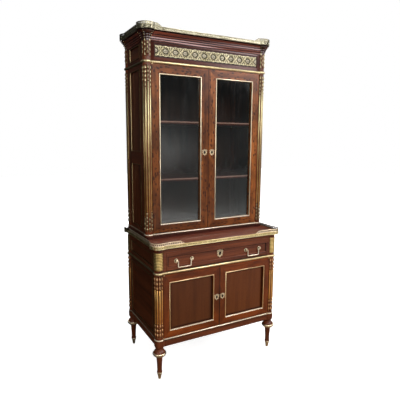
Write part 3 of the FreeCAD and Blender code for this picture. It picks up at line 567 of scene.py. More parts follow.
def sweep_plan(geo, s, prof, yback, n=24, mat=0, patina_and_shade=0.0, side_shade=0.0, turn=0.0):
    """Moulding round a stage; prof is a closed list of (overhang, bulge radius, z).

    The amount before turn is painted shade added along the sides; turn is the painted reflection in two dark bands
    round each front corner.
    """
    rows = [full_path(s, o, b, yback, n) for o, b, z in prof]
    k = len(prof)
    rings = [[(rows[p][i][0], rows[p][i][1], prof[p][2]) for p in range(k)] for i in range(len(rows[0]))]
    pat = list(patina_and_shade) if hasattr(patina_and_shade, "__len__") else [patina_and_shade] * k
    half = len(rings) // 2
    # painted reflection: two dark bands round each front corner, as strong as turn
    band = []
    for i in range(len(rings)):
        u = (i - half if i >= half else half - 1 - i) / n
        band.append(turn * (max(0.0, 1.0 - ((u - 0.30) / 0.17) ** 2) + 0.55 * max(0.0, 1.0 - ((u - 0.80) / 0.20) ** 2)))
    # the sides get painted shade on top of the profile's own tarnish values
    loft(geo, rings, mat, [min(0.97, a + e + side_shade * min(1.0, max(0.0, (q[1] - s["cf"] - 4.0) / 14.0)))
                           for r, e in zip(rings, band) for a, q in zip(pat, r)])


class Track:
    """Plan line measured by length, giving points pushed outward by d."""

    def __init__(self, pts):
        self.p = [Vector((x, y)) for x, y in pts]
        self.s = [0.0]
        for a, b in zip(self.p, self.p[1:]):
            self.s.append(self.s[-1] + (b - a).length)
        self.length = self.s[-1]
        seg = [(b - a).normalized() for a, b in zip(self.p, self.p[1:])]
        self.t = []
        for i in range(len(self.p)):
            q = seg[max(i - 1, 0)] + seg[min(i, len(seg) - 1)]
            q.normalize()
            self.t.append(q)

    def at(self, s, d, z):
        s = min(max(s, 0.0), self.length)
        lo, hi = 0, len(self.s) - 1
        while hi - lo > 1:
            mid = (lo + hi) // 2
            if self.s[mid] <= s:
                lo = mid
            else:
                hi = mid
        w = (s - self.s[lo]) / max(self.s[hi] - self.s[lo], 1e-9)
        p = self.p[lo].lerp(self.p[hi], w)
        t = self.t[lo].lerp(self.t[hi], w).normalized()
        return (p.x + t.y * d, p.y - t.x * d, z)


def relief_ring(geo, place, inner, outer, height, nt=64, ns=8, mat=0, patina_and_shade=None, back=0.0):
    """Cast plate between two outlines given by angle; height(s, t) is its relief."""
    v, f, a = [], [], []
    for i in range(ns + 1):
        s = i / ns
        for j in range(nt):
            t = TAU * j / nt
            (ui, wi), (uo, wo) = inner(t), outer(t)
            v.append(place(ui + (uo - ui) * s, wi + (wo - wi) * s, height(s, t)))
            a.append(patina_and_shade(s, t) if patina_and_shade else 0.0)
    for i in range(ns):
        for j in range(nt):
            j2 = (j + 1) % nt
            f.append((i * nt + j, i * nt + j2, (i + 1) * nt + j2, (i + 1) * nt + j))
    b = len(v)
    for fn in (inner, outer):
        for j in range(nt):
            u, w = fn(TAU * j / nt)
            v.append(place(u, w, back))
            a.append(0.6)
    for j in range(nt):
        j2 = (j + 1) % nt
        f.append((j, j2, b + j2, b + j))
        o = ns * nt
        f.append((o + j, o + j2, b + nt + j2, b + nt + j))
        f.append((b + j, b + j2, b + nt + j2, b + nt + j))
    geo.add(v, f, mat, a)


def relief_disc(geo, place, radius, height, nt=48, nr=10, mat=0, patina_and_shade=None, back=0.0):
    """Cast disc; height(r, t) is its relief and radius(t) its rim."""
    v, f, a = [place(0.0, 0.0, height(0.0, 0.0))], [], [patina_and_shade(0.0, 0.0) if patina_and_shade else 0.0]
    for i in range(1, nr + 1):
        for j in range(nt):
            t = TAU * j / nt
            r = radius(t) * i / nr
            v.append(place(r * math.cos(t), r * math.sin(t), height(i / nr, t)))
            a.append(patina_and_shade(i / nr, t) if patina_and_shade else 0.0)
    for j in range(nt):
        f.append((0, 1 + j, 1 + (j + 1) % nt))
    for i in range(nr - 1):
        for j in range(nt):
            j2 = (j + 1) % nt
            f.append((1 + i * nt + j, 1 + (i + 1) * nt + j, 1 + (i + 1) * nt + j2, 1 + i * nt + j2))
    b, o = len(v), 1 + (nr - 1) * nt
    for j in range(nt):
        t = TAU * j / nt
        v.append(place(radius(t) * math.cos(t), radius(t) * math.sin(t), back))
        a.append(0.6)
    for j in range(nt):
        j2 = (j + 1) % nt
        f.append((o + j, b + j, b + j2, o + j2))
    f.append(tuple(range(b + nt - 1, b - 1, -1)))
    geo.add(v, f, mat, a)


# ---------------------------------------------------------------- mouldings and rims
def bead_profile(o, b, zc, r):
    """Half-round with a fillet above and below, standing on the case."""
    out = [(-1.5, zc - r)]
    for i in range(13):
        t = math.radians(-90 + 15.0 * i)
        out.append((r * math.cos(t), zc + r * math.sin(t)))
    out.append((-1.5, zc + r))
    return [(o + d, b + d, z) for d, z in out]


g = Geo()
for s, zc, r in ((LOW, 703.0, 8.0), (UPP, 1981.0, 8.0), (LOW, 269.0, 4.0), (UPP, 909.0, 4.0)):
    # the half-rounds are darkened along the sides as painted shade
    sweep_plan(g, s, bead_profile(0.0, 27.5, zc, r), BACK_CASE, mat=0 if r > 5.0 else 1, side_shade=0.78)
g.make("brass_half_rounds", "case", "brass", ["brass_cream", "brass_handle"], ["brass_mouldings"], angle=50.0)

g = Geo()
for s, o, b, z0 in ((LOW, 20.0, 50.0, 863.0), (UPP, 24.0, 57.0, 2161.0)):
    shape = [(-0.5, 0.0), (2.4, 0.0), (3.4, 0.6), (4.0, 1.8), (4.0, 2.6), (3.4, 3.6), (2.5, 4.2), (2.1, 5.0), (2.1, 15.6),
             (2.5, 16.2), (3.3, 16.6), (4.0, 17.6), (4.0, 19.6), (3.3, 20.6), (2.4, 21.0), (-0.5, 21.0)]
    pat = [0.2, 0.1, 0.0, 0.0, 0.0, 0.1, 0.5, 0.55, 0.55, 0.5, 0.1, 0.0, 0.0, 0.0, 0.0, 0.1]
    mt = 1 if s is LOW else 0
    # the upper rim also gets the painted reflection bands round its front corners
    sweep_plan(g, s, [(o + d, b + d, z0 + h) for d, h in shape], BACK_TOP, 32, mat=mt, patina_and_shade=pat, side_shade=0.5, turn=0.0 if s is LOW else 0.6)
    tr = Track(full_path(s, o + 2.1, b + 2.1, BACK_TOP, 48))
    count = int(round(tr.length / 36.0))
    step = tr.length / count
    for i in range(count):
        sc = (i + 0.5) * step
        zc = z0 + 10.3
        old = 0.5 if tr.at(sc, 0.0, 0.0)[1] > s["cf"] + 14.0 else 0.0
        loop = [[], [], [], []]
        nphi = 26
        rings = []
        for j in range(nphi):
            t = TAU * j / nphi
            u, w = 0.47 * step * math.cos(t), 4.1 * math.sin(t)
            cu, cw = math.cos(t), math.sin(t)
            ring = []
            for q in range(6):
                e = TAU * q / 6
                ring.append(tr.at(sc + u + 0.95 * math.cos(e) * cu, 0.3 + 1.15 * math.sin(e), zc + w + 0.95 * math.cos(e) * cw))
            rings.append(ring)
        rings.append(rings[0])
        loft(g, rings, mat=mt, cap=False, patina_and_shade=old)
        lathe(g, [(0.0, -0.3), (1.7, -0.2), (1.75, 0.5), (1.2, 1.2), (0.0, 1.5)],
              lambda x, y, h: tr.at(sc + 3.2 * x, h, zc + y), n=12, mat=mt, patina_and_shade=old)
        lathe(g, [(0.0, -0.3), (1.5, -0.2), (1.5, 0.5), (1.0, 1.2), (0.0, 1.5)],
              lambda x, y, h: tr.at(sc + 0.5 * step + x, h, zc + 2.2 * y), n=10, mat=mt, patina_and_shade=old)
g.make("chased_rims", "case", "brass", ["brass_top", "brass_rim"], ["top_rims"])

# pierced galleries: sill, rounded openings, top bead
g = Geo()
for s, o, b, z0, h, xend, ramp, hole, tail in ((LOW, 22.0, 52.0, 884.0, 19.0, 272.0, 26.0, 0.30, 95.0),
                                               (UPP, 26.0, 59.0, 2182.0, 18.0, 345.0, 24.0, 0.21, 26.0)):
    for sx in (1.0, -1.0):
        pts = [(xend, s["yf"] - o)] + half_path(s, o, b, BACK_TOP, 40)
        tr = Track(pts)

        def at(q, d, z, tr=tr, sx=sx):
            x, y, zz = tr.at(q, d, z)
            return (sx * x, y, zz)

        def top(q, h=h, ramp=ramp, tail=tail, end=tr.length):
            return h * min(1.0, 0.16 + 0.84 * q / ramp, 0.20 + 0.80 * max(0.0, end - q) / tail)

        turn = s["xs"] + o - xend

        # the right-hand gallery's extra darkening (right, and the earlier turn) is painted shade
        def tarnish_and_shade(q, turn=turn - (45.0 if sx > 0.0 else 0.0), low=s is LOW, end=tr.length, right=0.34 if sx > 0.0 else 0.18):
            """Tarnish, deeper along the sides than on the front and deepest at the back; on the right-hand gallery it
            is deeper throughout and starts sooner along the side, which is painted shade.
            """
            side_ = min(1.0, max(0.0, (q - turn - 20.0) / 50.0))
            return min(0.95, (0.0 if low else 0.13 + right) + (0.62 if low else 0.40) * side_ + 0.4 * min(1.0, max(0.0, (q - end + 150.0) / 60.0)))

        def opening(q, turn=turn, low=s is LOW, hole=hole):
            """Half width of an opening in cells, smaller along the sides of the lower stage."""
            return hole if not low else hole * (1.0 - 0.45 * min(1.0, max(0.0, (q - turn - 40.0) / 60.0)))

        mt = 0 if s is LOW else 1
        count = int(round(tr.length / (12.0 if s is LOW else 10.5)))
        step = tr.length / count
        m = 16
        for i in range(count):
            v, f, pat = [], [], []
            ho = opening((i + 0.5) * step)
            for d, which, old in ((1.3, 1, 0.0), (1.15, 0, 0.05), (0.7, 0, 0.9), (-0.7, 0, 0.9), (-1.15, 0, 0.3), (-1.3, 1, 0.2)):
                for j in range(m):
                    t = TAU * j / m
                    c, sn = math.cos(t), math.sin(t)
                    if which:
                        k = 0.5 / max(abs(c), abs(sn))
                    else:
                        k = 1.0 / ((abs(c) / ho) ** 3 + (abs(sn) / (ho - 0.02)) ** 3) ** (1 / 3.0)
                    q = (i + 0.5 + k * c) * step
                    v.append(at(q, d, z0 + (0.5 + k * sn) * top(q)))
                    pat.append(min(0.97, old + tarnish_and_shade(q)))
            for r in range(6):
                for j in range(m):
                    j2 = (j + 1) % m
                    f.append((r * m + j, r * m + j2, (r + 1) % 6 * m + j2, (r + 1) % 6 * m + j))
            g.add(v, f, mt, pat)
        qs = [tr.length * i / 160.0 for i in range(161)]
        loft(g, [[at(q, d, z0 + w) for d, w in ((-1.5, 0.0), (1.7, 0.0), (1.9, 1.0), (1.5, 2.6), (1.0, 3.4), (-1.5, 3.4))] for q in qs],
             mat=mt, patina_and_shade=[tarnish_and_shade(q) for q in qs for e in range(6)])
        ringz = [(1.9 * math.cos(TAU * j / 10), 1.7 * math.sin(TAU * j / 10)) for j in range(10)]
        loft(g, [[at(q, d, z0 + top(q) - 1.7 + w) for d, w in ringz] for q in qs], mat=mt, patina_and_shade=[tarnish_and_shade(q) for q in qs for e in range(10)])
g.make("pierced_gallery_bands", "case", "brass", ["brass_gallery", "brass_top_gallery"], ["pierced_galleries"])

# ---------------------------------------------------------------- cornice
R = 27.5


def along(table, z):
    for (z0, a), (z1, b) in zip(table, table[1:]):
        if z <= z1:
            return a + (b - a) * max(0.0, (z - z0) / max(z1 - z0, 1e-9))
    return table[-1][1]


over = [(2097.9, 0.6), (2101.0, 0.6), (2101.3, 4.3), (2101.7, 4.8), (2110.0, 4.3), (2110.3, 2.0), (2113.5, 2.0), (2113.8, 7.4), (2114.2, 7.9),
        (2122.4, 7.5), (2122.7, 4.2), (2126.1, 4.2), (2126.4, 10.6), (2126.8, 11.0), (2134.0, 11.1), (2134.3, 7.4), (2138.5, 7.4), (2138.8, 15.2),
        (2139.2, 15.6), (2143.3, 15.8), (2143.6, 17.6), (2144.0, 18.0), (2152.8, 19.8), (2153.2, 19.4), (2153.5, 12.0), (2160.7, 12.0),
        (2161.2, 24.0), (2181.0, 24.0)]
bulge = [(2097.9, 27.6), (2101.0, 27.6), (2101.3, 28.3), (2110.0, 28.3), (2110.3, 27.6), (2113.5, 27.6), (2113.8, 30.0), (2114.6, 31.2), (2118.0, 31.9),
         (2121.8, 31.4), (2122.4, 30.2), (2122.7, 28.8), (2126.1, 29.4), (2126.4, 34.6), (2127.2, 36.2), (2130.4, 37.2), (2133.4, 36.9), (2134.0, 35.8),
         (2134.3, 33.6), (2138.5, 35.0), (2138.8, 41.2), (2139.4, 42.6), (2142.7, 43.4), (2143.3, 43.0), (2143.6, 45.4), (2144.4, 47.0), (2149.0, 51.6),
         (2152.4, 53.6), (2153.2, 52.6), (2153.5, 46.0), (2160.7, 46.0), (2161.2, 56.9), (2181.0, 57.0)]
SUNKEN = ((2097.8, 2101.1), (2110.2, 2113.6), (2122.6, 2126.2), (2134.2, 2138.6), (2153.4, 2160.8))
zs = sorted(set([round(z, 2) for z, q in over] + [round(z, 2) for z, q in bulge]))
levels = [(-2.0, R - 1.0, 2097.9)] + [(along(over, z), along(bulge, z), z) for z in zs]
g = Geo()
rows = [full_path(UPP, o, b, BACK_TOP, 36) for o, b, z in levels]
rings = [[(x, y, levels[i][2]) for x, y in row] for i, row in enumerate(rows)]
loft(g, rings)
for i in range(len(levels) - 1):
    mid = 0.5 * (levels[i][2] + levels[i + 1][2])
    for j in range(len(rows[0])):
        # sunken bands take the near-black groove wood as painted shade
        if any(a < mid < b for a, b in SUNKEN):
            g.m[i * len(rows[0]) + j] = 1
        # the bulged corners take the darker corbel wood as painted shade
        elif j not in (18, 55, 92, 111):
            g.m[i * len(rows[0]) + j] = 2
g.m[-1] = 3
g.make("cornice_moulding", "case", "mahogany", ["cornice", "groove_shade", "shaded_corbel", "top_board"], ["cornice"], angle=34.0)

# ---------------------------------------------------------------- columns: rods, husks, ridged plates
FLUTE = []
for s, spans in ((LOW, ((289.0, 379.0, 599.0, 686.0),)), (UPP, ((931.0, 1057.0, 1864.0, 1959.0),))):
    for sx in (1.0, -1.0):
        for cy, base, ks in ((s["cf"], -45.0, (-2, -1, 0, 1, 2)), (s["cr"], 45.0, (-2, -1, 0))):
            for k in ks:
                ang = base + 37.0 * k
                if sx < 0:
                    ang = 180.0 - ang
                FLUTE.append((s, sx * s["a"], cy, math.radians(ang), k, spans[0]))

g = Geo()
gh = Geo()


def husk(geo, cx, cy, ang, z0, z1, up, size=6.5, old=0.0, mat=0, odd=False, neck=0.26, deep=1.0):
    """Chain of bell husks in a flute; up tells which way they open, odd shifts them by half a step, deep scales the tarnish."""
    n = max(3, int(round((z1 - z0) / 26.5)))
    step = (z1 - z0) / n
    if odd:
        n -= 1
        z0 += 0.5 * step
    c, s = math.cos(ang), math.sin(ang)
    for i in range(n):
        zb = z0 + i * step
        wide = size * (1.0 - 0.16 * ((i + 0.5) / n if up else (n - i - 0.5) / n))

        def place(x, y, h, zb=zb):
            zz = zb + (h * step if up else (1.0 - h) * step)
            rad = 25.0 + 0.92 * x
            return (cx + rad * c - y * s, cy + rad * s + y * c, zz)

        prof = [(0.0, 0.04), (neck * wide, 0.05), ((neck + 0.10) * wide, 0.14), (0.74 * wide, 0.30), (0.98 * wide, 0.50), (1.0 * wide, 0.70),
                ((neck + 0.38) * wide, 0.82), (neck * wide, 0.91), (0.0, 0.95)]
        pat = [min(0.97, deep * q + old) for q in (0.85, 0.8, 0.6, 0.36, 0.1, 0.0, 0.32, 0.8, 0.85)]
        lathe(geo, prof, place, n=16, mat=mat, patina_and_shade=pat,
              wave=lambda t, k: 1.0 + (0.15 if 2 < k < 7 else 0.05) * math.cos(3.0 * t))
        lathe(geo, [(0.0, -0.06), (1.6, -0.04), (2.2, 0.01), (1.7, 0.06), (0.0, 0.08)], place, n=10, mat=mat, patina_and_shade=min(0.97, 0.25 + old))


for s, cx, cy, ang, k, (za, zb, zc, zd) in FLUTE:
    low = s is LOW
    d = 0.0 if low else (-16.0 if k % 2 else 18.0)
    thick = 5.2 if abs(k) == 2 else 6.1
    old = 0.5 if cy > 0.0 else 0.0
    rad = 23.6 if abs(k) == 2 else 23.9
    px, py = cx + rad * math.cos(ang), cy + rad * math.sin(ang)
    z0, z1 = zb + (0.0 if low else d - 16.0), zc - (0.0 if low else d + 16.0)
    prof = [(0.0, z0), (0.55, z0 + 0.3), (0.86, z0 + 1.4), (1.0, z0 + 3.2), (1.0, z0 + 5.4), (0.86, z0 + 6.4), (1.0, z0 + 7.8),
            (1.0, z1 - 7.8), (0.86, z1 - 6.4), (1.0, z1 - 5.4), (1.0, z1 - 3.2), (0.86, z1 - 1.4), (0.55, z1 - 0.3), (0.0, z1)]
    lathe(g, [(q * thick, h) for q, h in prof], lambda x, y, h: (px + x, py + y, h), n=20, mat=1 if low else 0, patina_and_shade=old)
    wide = 5.6 if abs(k) == 2 else 6.6
    mh = 1 if low else 0
    neck, deep = (0.26, 1.0) if low else (0.44, 0.6)
    husk(gh, cx, cy, ang, za + 1.0, z0 - 1.0, True, wide, old, mh, False, neck, deep)
    husk(gh, cx, cy, ang, z1 + 1.0, zd - 1.0, False, wide, old, mh, False, neck, deep)
    if not low:
        # painted shade: the frieze-zone husks of the left columns are darker
        husk(gh, cx, cy, ang, 2009.0, 2117.0, False, (0.96 if cx > 0.0 else 0.84) * wide, min(0.6, old + (0.0 if cx > 0.0 else 0.2)), 0, k % 2 == 1, neck, deep)
    # painted shade: the pearls on the right-hand corbels are darkened
    if not low and k % 2 == 0:
        for z in (2118.0, 2130.2, 2141.2, 2149.6):
            rr = along(bulge, z)
            lathe(gh, [(0.0, -2.9), (1.6, -2.5), (2.7, -1.3), (3.0, 0.0), (2.7, 1.3), (1.6, 2.5), (0.0, 2.9)],
                  lambda x, y, h: (cx + rr * math.cos(ang) + x, cy + rr * math.sin(ang) + y, z + h), n=12, patina_and_shade=0.85 if cx > 0.0 else 0.0)
g.make("fluting_rods", "case", "brass", ["brass_rod", "brass_warm"], ["flute_rods"])
gh.make("husk_chains", "case", "brass", ["brass_husk", "brass_low_husk"], ["column_husks"], angle=60.0)

g = Geo()
for sx in (1.0, -1.0):
    for cy, t0, t1 in ((LOW["cf"], -135.5, 45.5), (LOW["cr"], -45.5, 66.0)):
        prof = [(R - 0.4, 726.0), (R + 1.9, 726.0), (R + 2.0, 728.0)]
        pat = [0.5, 0.2, 0.1]
        nr = 11
        for i in range(nr):
            z = 728.6 + (105.0 / nr) * i
            h = 105.0 / nr
            for q, d, pp in ((0.03, 0.1, 0.95), (0.16, 0.5, 0.85), (0.28, 1.8, 0.15), (0.44, 2.4, 0.0), (0.66, 2.4, 0.0), (0.82, 1.7, 0.15), (0.94, 0.4, 0.85)):
                prof.append((R + d, z + q * h))
                pat.append(pp)
        prof += [(R + 2.0, 834.2), (R + 1.9, 836.0), (R - 0.4, 836.0)]
        pat += [0.1, 0.2, 0.5]
        rings = []
        n = 40
        for j in range(n + 1):
            t = math.radians(t0 + (t1 - t0) * j / n)
            rings.append([(sx * (LOW["a"] + r * math.cos(t)), cy + r * math.sin(t), z) for r, z in prof])
        loft(g, rings, patina_and_shade=(pat if cy < 0.0 else [min(1.0, q + 0.62) for q in pat]) * (n + 1))
g.make("ridged_plates", "case", "brass", ["brass_plate"], ["corner_plates"])

# ---------------------------------------------------------------- frieze ornament: guilloche in relief
PITCH = 747.0 / 11.0


def bump01(x):
    return max(0.0, 1.0 - x * x)


GAPS = ((7.8, 4.2, 3.8), (3.8, 10.0, 3.7), (7.0, 18.8, 3.8), (15.0, 24.4, 3.8), (20.0, 19.6, 3.0), (28.0, 24.2, 3.8), (1.6, 25.6, 2.6))


def frieze_height(u, w):
    """Relief in mm and tarnish at u along, w across the frieze: rosettes in rings, crossed leaves between them."""
    k = math.floor((u + 373.5) / PITCH + 0.5)
    x = u + 373.5 - k * PITCH
    r = math.hypot(x / 1.24, w)
    t = math.atan2(w, x / 1.24)
    k2 = math.floor((u + 373.5) / PITCH)
    ax, aw = abs(u + 373.5 - (k2 + 0.5) * PITCH), abs(w)
    h = 2.1 + 0.5 * math.cos(1.1 * (ax + 0.7 * aw))
    for gx, gz, gr in GAPS:
        d = math.hypot(ax - gx, aw - gz) / gr
        if d < 1.0:
            h = min(h, 0.4 + 2.0 * d ** 4)
    # crossed leaves, veined, with a berry in the middle
    arm = abs(aw - 1.25 * ax) / 1.6
    if arm < 2.7 and aw < 27.0:
        h = 2.6 + 2.2 * (1.0 - (arm / 2.7) ** 2) - (0.7 if arm < 0.6 else 0.0)
    # leaf tips along both edges and a drop in each opening
    tip = 24.2 - 2.6 * math.cos(TAU * ax / 17.0)
    if aw > tip:
        h = max(h, 3.2 + 1.6 * math.cos(TAU * ax / 8.5) ** 2)
    d = math.hypot(ax / 3.0, (aw - 16.4) / 4.6)
    if d < 1.0:
        h = max(h, 3.2 + 2.2 * math.sqrt(bump01(d)))
    if math.hypot(ax, aw) < 4.4:
        h = 4.4 + 2.0 * math.sqrt(bump01(math.hypot(ax, aw) / 4.4))
    # ring, dark channel and twisted rosette
    if r < 19.8:
        if r > 17.2:
            q = (r - 18.5) / 1.3
            h = max(h if r > 18.9 else 0.0, 2.6 + 2.4 * math.sqrt(max(0.0, 1.0 - q * q)))
        elif r > 11.8:
            h = 0.2
        else:
            pet = 0.5 + 0.5 * math.cos(6.0 * t + 0.34 * r)
            h = 1.9 + 3.6 * bump01(r / 14.2) ** 0.5 * (0.42 + 0.58 * pet ** 0.7)
            if 3.4 < r < 4.9:
                h -= 1.9
            elif r <= 3.4:
                h = max(h, 4.6 + 2.0 * math.sqrt(bump01(r / 3.5)))
    return h, max(0.0, min(0.95, (2.7 - h) / 1.7))


g = Geo()
NU, NW = 752, 62
v, f, pat = [], [], []
for i in range(NU + 1):
    u = -373.5 + 747.0 * i / NU
    ph = TAU * (u + 373.5) / PITCH
    half = 30.0 + 1.5 * math.cos(2.0 * ph) + 0.5 * math.cos(ph)
    half *= 1.0 if 4.0 < i < NU - 4.0 else 0.97
    for j in range(NW + 1):
        w = half * (-1.0 + 2.0 * j / NW)
        hh, pp = frieze_height(u, w)
        edge = min(j, NW - j)
        if edge == 0:
            hh = min(hh, 2.2)
        v.append((u, -84.6 - min(hh, 6.9), 2049.0 + w))
        pat.append(pp)
for i in range(NU):
    for j in range(NW):
        a = i * (NW + 1) + j
        f.append((a, a + 1, a + NW + 2, a + NW + 1))
fm = []
for i in range(NU):
    u = (i + 0.5) * 747.0 / NU
    u -= PITCH * math.floor(u / PITCH + 0.5)
    for j in range(NW):
        w = 30.0 * (-1.0 + 2.0 * (j + 0.5) / NW)
        fm.append(1 if math.hypot(u / 1.24, w) < 13.6 else 0)
b0 = len(v)
rim = [(i, 0) for i in range(NU + 1)] + [(NU, j) for j in range(1, NW + 1)] + [(i, NW) for i in range(NU - 1, -1, -1)] + \
      [(0, j) for j in range(NW - 1, 0, -1)]
for i, j in rim:
    x, y, z = v[i * (NW + 1) + j]
    v.append((x, -84.5, z))
    pat.append(0.6)
for q in range(len(rim)):
    q2 = (q + 1) % len(rim)
    i, j = rim[q]
    i2, j2 = rim[q2]
    f.append((i * (NW + 1) + j, i2 * (NW + 1) + j2, b0 + q2, b0 + q))
f.append(tuple(range(b0, b0 + len(rim))))
g.add(v, f, 0, pat)
g.m[:len(fm)] = fm
g.make("guilloche_frieze", "case", "brass", ["brass_frieze", "brass_disc"], ["frieze_ornament"], angle=55.0)


# ---------------------------------------------------------------- key plates and handles
def torus(geo, cx, cy, cz, ra, rb, tube_r, n=26, m=8, mat=0, patina_and_shade=0.0, turn=0.0):
    """Oval ring lying against a front-facing surface."""
    rings = []
    ct, st_ = math.cos(turn), math.sin(turn)
    for i in range(n):
        t = TAU * i / n
        ring = []
        for j in range(m):
            e = TAU * j / m
            q = tube_r * math.cos(e)
            u, w = (ra + q) * math.cos(t), (rb + q) * math.sin(t)
            ring.append((cx + u * ct - w * st_, cy - tube_r * math.sin(e), cz + u * st_ + w * ct))
        rings.append(ring)
    rings.append(rings[0])
    loft(geo, rings, mat, patina_and_shade, cap=False)


def boss(geo, cx, face, cz, ra, rb, h, mat=0, patina_and_shade=0.0, turn=0.0, n=16):
    """Low oval drop standing on a front-facing surface."""
    ct, st_ = math.cos(turn), math.sin(turn)

    def place(x, y, d):
        return (cx + ra * x * ct - rb * y * st_, face - d * h, cz + ra * x * st_ + rb * y * ct)

    lathe(geo, [(0.0, 0.0), (0.92, 0.02), (1.0, 0.28), (0.84, 0.62), (0.48, 0.90), (0.0, 1.0)], place, n=n, mat=mat, patina_and_shade=patina_and_shade)


def key_plate(geo, cx, face, cz, w):
    """Key plate: dark eye in a cast ring, four scrolls round it, a crest above and a bright drop below."""
    k = w / 42.0
    # the eye is a near-black disc in the keyhole material: painted shade
    hole = [(8.6 * k * math.cos(TAU * j / 40), 10.8 * k * math.sin(TAU * j / 40)) for j in range(40)]
    ring0 = [(cx + u, face - 0.45, cz + q) for u, q in hole]
    ring1 = [(cx + u, face - 0.02, cz + q) for u, q in hole]
    geo.add(ring0 + ring1, [tuple(range(40)), tuple(range(79, 39, -1))] + [(j, (j + 1) % 40, 40 + (j + 1) % 40, 40 + j) for j in range(40)], 1)

    def place(u, q, d):
        return (cx + u, face - d, cz + q)

    # painted shade: the upper half of the ring is darkened
    relief_ring(geo, place, lambda t: (8.2 * k * math.cos(t), 10.4 * k * math.sin(t)), lambda t: (13.4 * k * math.cos(t), 15.0 * k * math.sin(t)),
                lambda q, t: 0.7 + 2.5 * math.sin(math.pi * min(1.0, q * 1.04)) ** 0.7,
                nt=72, ns=8, patina_and_shade=lambda q, t: 0.5 * bump01(q / 0.14) + 0.40 * bump01((q - 1.0) / 0.14) + 0.50 * max(0.0, math.sin(t)) ** 3)
    for sgn in (-1.0, 1.0):
        for u, q, r in ((11.8, 11.6, 5.2), (10.2, -9.2, 3.4)):
            # painted shade: the upper scrolls are a little darker, and their eyes get near-black insets in the keyhole
            # material
            torus(geo, cx + sgn * u * k, face - 1.5 * k, cz + q * k, r * k, r * k, 1.7 * k, n=30, m=10, patina_and_shade=0.12 if q > 0.0 else 0.0)
            boss(geo, cx + sgn * u * k, face, cz + q * k, (r - 0.9) * k, (r - 0.9) * k, 0.8, mat=1)
        boss(geo, cx + sgn * 15.6 * k, face, cz + 0.4 * k, 2.4 * k, 3.4 * k, 2.2, patina_and_shade=0.15)
        boss(geo, cx + sgn * 5.2 * k, face, cz + 18.4 * k, 2.0 * k, 3.4 * k, 2.0, patina_and_shade=0.35, turn=sgn * 0.5)
    boss(geo, cx, face, cz + 16.4 * k, 2.6 * k, 4.4 * k, 2.6, patina_and_shade=0.2)
    boss(geo, cx, face, cz - 16.0 * k, 4.6 * k, 5.4 * k, 4.2, n=24)
    # keyhole pin inside the eye
    boss(geo, cx, face - 0.4, cz - 2.0 * k, 1.6 * k, 1.6 * k, 0.8, patina_and_shade=0.5)


for st, face, kx, kz in (("bookcase", -90.5, 27.75, 1432.0), ("cupboard", -263.5, 22.75, 478.0)):
    for side, sx in (("right", 1.0), ("left", -1.0)):
        g = Geo()
        key_plate(g, sx * kx, face, kz, 41.0)
        g.make(f"{st}_{side}_key_plate", f"{st}_{side}_door", "brass", ["brass_pale", "keyhole"], [f"{st}_{side}_escutcheon"], angle=60.0)

g = Geo()
SUNK = -259.5
key_plate(g, 0.0, SUNK, 776.0, 52.0)
for xc in (263.0, -263.0):
    for sgn in (-1.0, 1.0):
        xp = xc + sgn * 55.5

        def place(u, w, d, xp=xp):
            return (xp + u, SUNK - d, 771.0 + w)

        # painted shade: each rosette is dark in the middle round the post
        relief_disc(g, place, lambda t: 13.6 + 0.5 * math.cos(12.0 * t),
                    lambda r, t: 0.9 + 2.4 * bump01((r - 0.86) / 0.16) + (1.0 + 0.9 * math.cos(12.0 * t)) * bump01((r - 0.55) / 0.26) + 1.2 * bump01(r / 0.34),
                    nt=72, nr=16, patina_and_shade=lambda r, t: 0.95 if r < 0.72 else 0.6 * bump01((r - 0.72) / 0.10))
        # painted shade: the post's neck next to the rosette is darkened
        prof = smooth([(5.6, 1.0), (4.3, 2.4), (3.9, 4.0), (4.6, 5.0), (6.4, 6.6), (7.5, 8.8), (7.8, 11.0), (7.3, 13.2), (5.6, 15.2), (3.0, 16.4), (0.0, 16.8)], 3)
        lathe(g, prof, lambda x, y, d: (xp + x, SUNK - d, 772.4 + y), n=28,
              patina_and_shade=[0.85 if d < 5.5 else 0.0 for r, d in prof])
g.make("fall_furniture", "fall", "brass", ["brass_pale", "keyhole"], ["fall_mounts"], angle=60.0)

for side, xc in (("right", 263.0), ("left", -263.0)):
    g = Geo()
    yb, zt, zb = -270.5, 771.0, 730.0
    xa, xb = xc - 44.5, xc + 44.5
    path, rad = [], []
    rr = 5.0

    def corner(cx, cz, a0, a1):
        for i in range(9):
            t = math.radians(a0 + (a1 - a0) * i / 8)
            path.append((cx + rr * math.cos(t), yb, cz + rr * math.sin(t)))
            rad.append(3.1)

    path.append((xa - 8.5, yb, zt))
    rad.append(2.05)
    path.append((xa - 5.2, yb, zt))
    rad.append(2.05)
    corner(xa - rr, zt - rr, 90.0, 0.0)
    for q in range(1, 7):
        path.append((xa, yb, zt - rr - (zt - zb - 2 * rr) * q / 7.0))
        rad.append(3.1 + 0.2 * math.sin(math.pi * q / 7.0))
    corner(xa + rr, zb + rr, 180.0, 270.0)
    for q in range(1, 20):
        path.append((xa + rr + (xb - xa - 2 * rr) * q / 20.0, yb, zb))
        rad.append(3.1 + 0.35 * math.sin(math.pi * q / 20.0))
    corner(xb - rr, zb + rr, 270.0, 360.0)
    for q in range(6, 0, -1):
        path.append((xb, yb, zt - rr - (zt - zb - 2 * rr) * q / 7.0))
        rad.append(3.1 + 0.2 * math.sin(math.pi * q / 7.0))
    corner(xb + rr, zt - rr, 180.0, 90.0)
    path.append((xb + 5.2, yb, zt))
    rad.append(2.05)
    path.append((xb + 8.5, yb, zt))
    rad.append(2.05)
    tube(g, path, rad, n=16)
    g.make(f"bail_bar_{side}", f"bail_{side}_handle", "brass", ["brass_handle"], [f"bail_{side}"], angle=60.0)

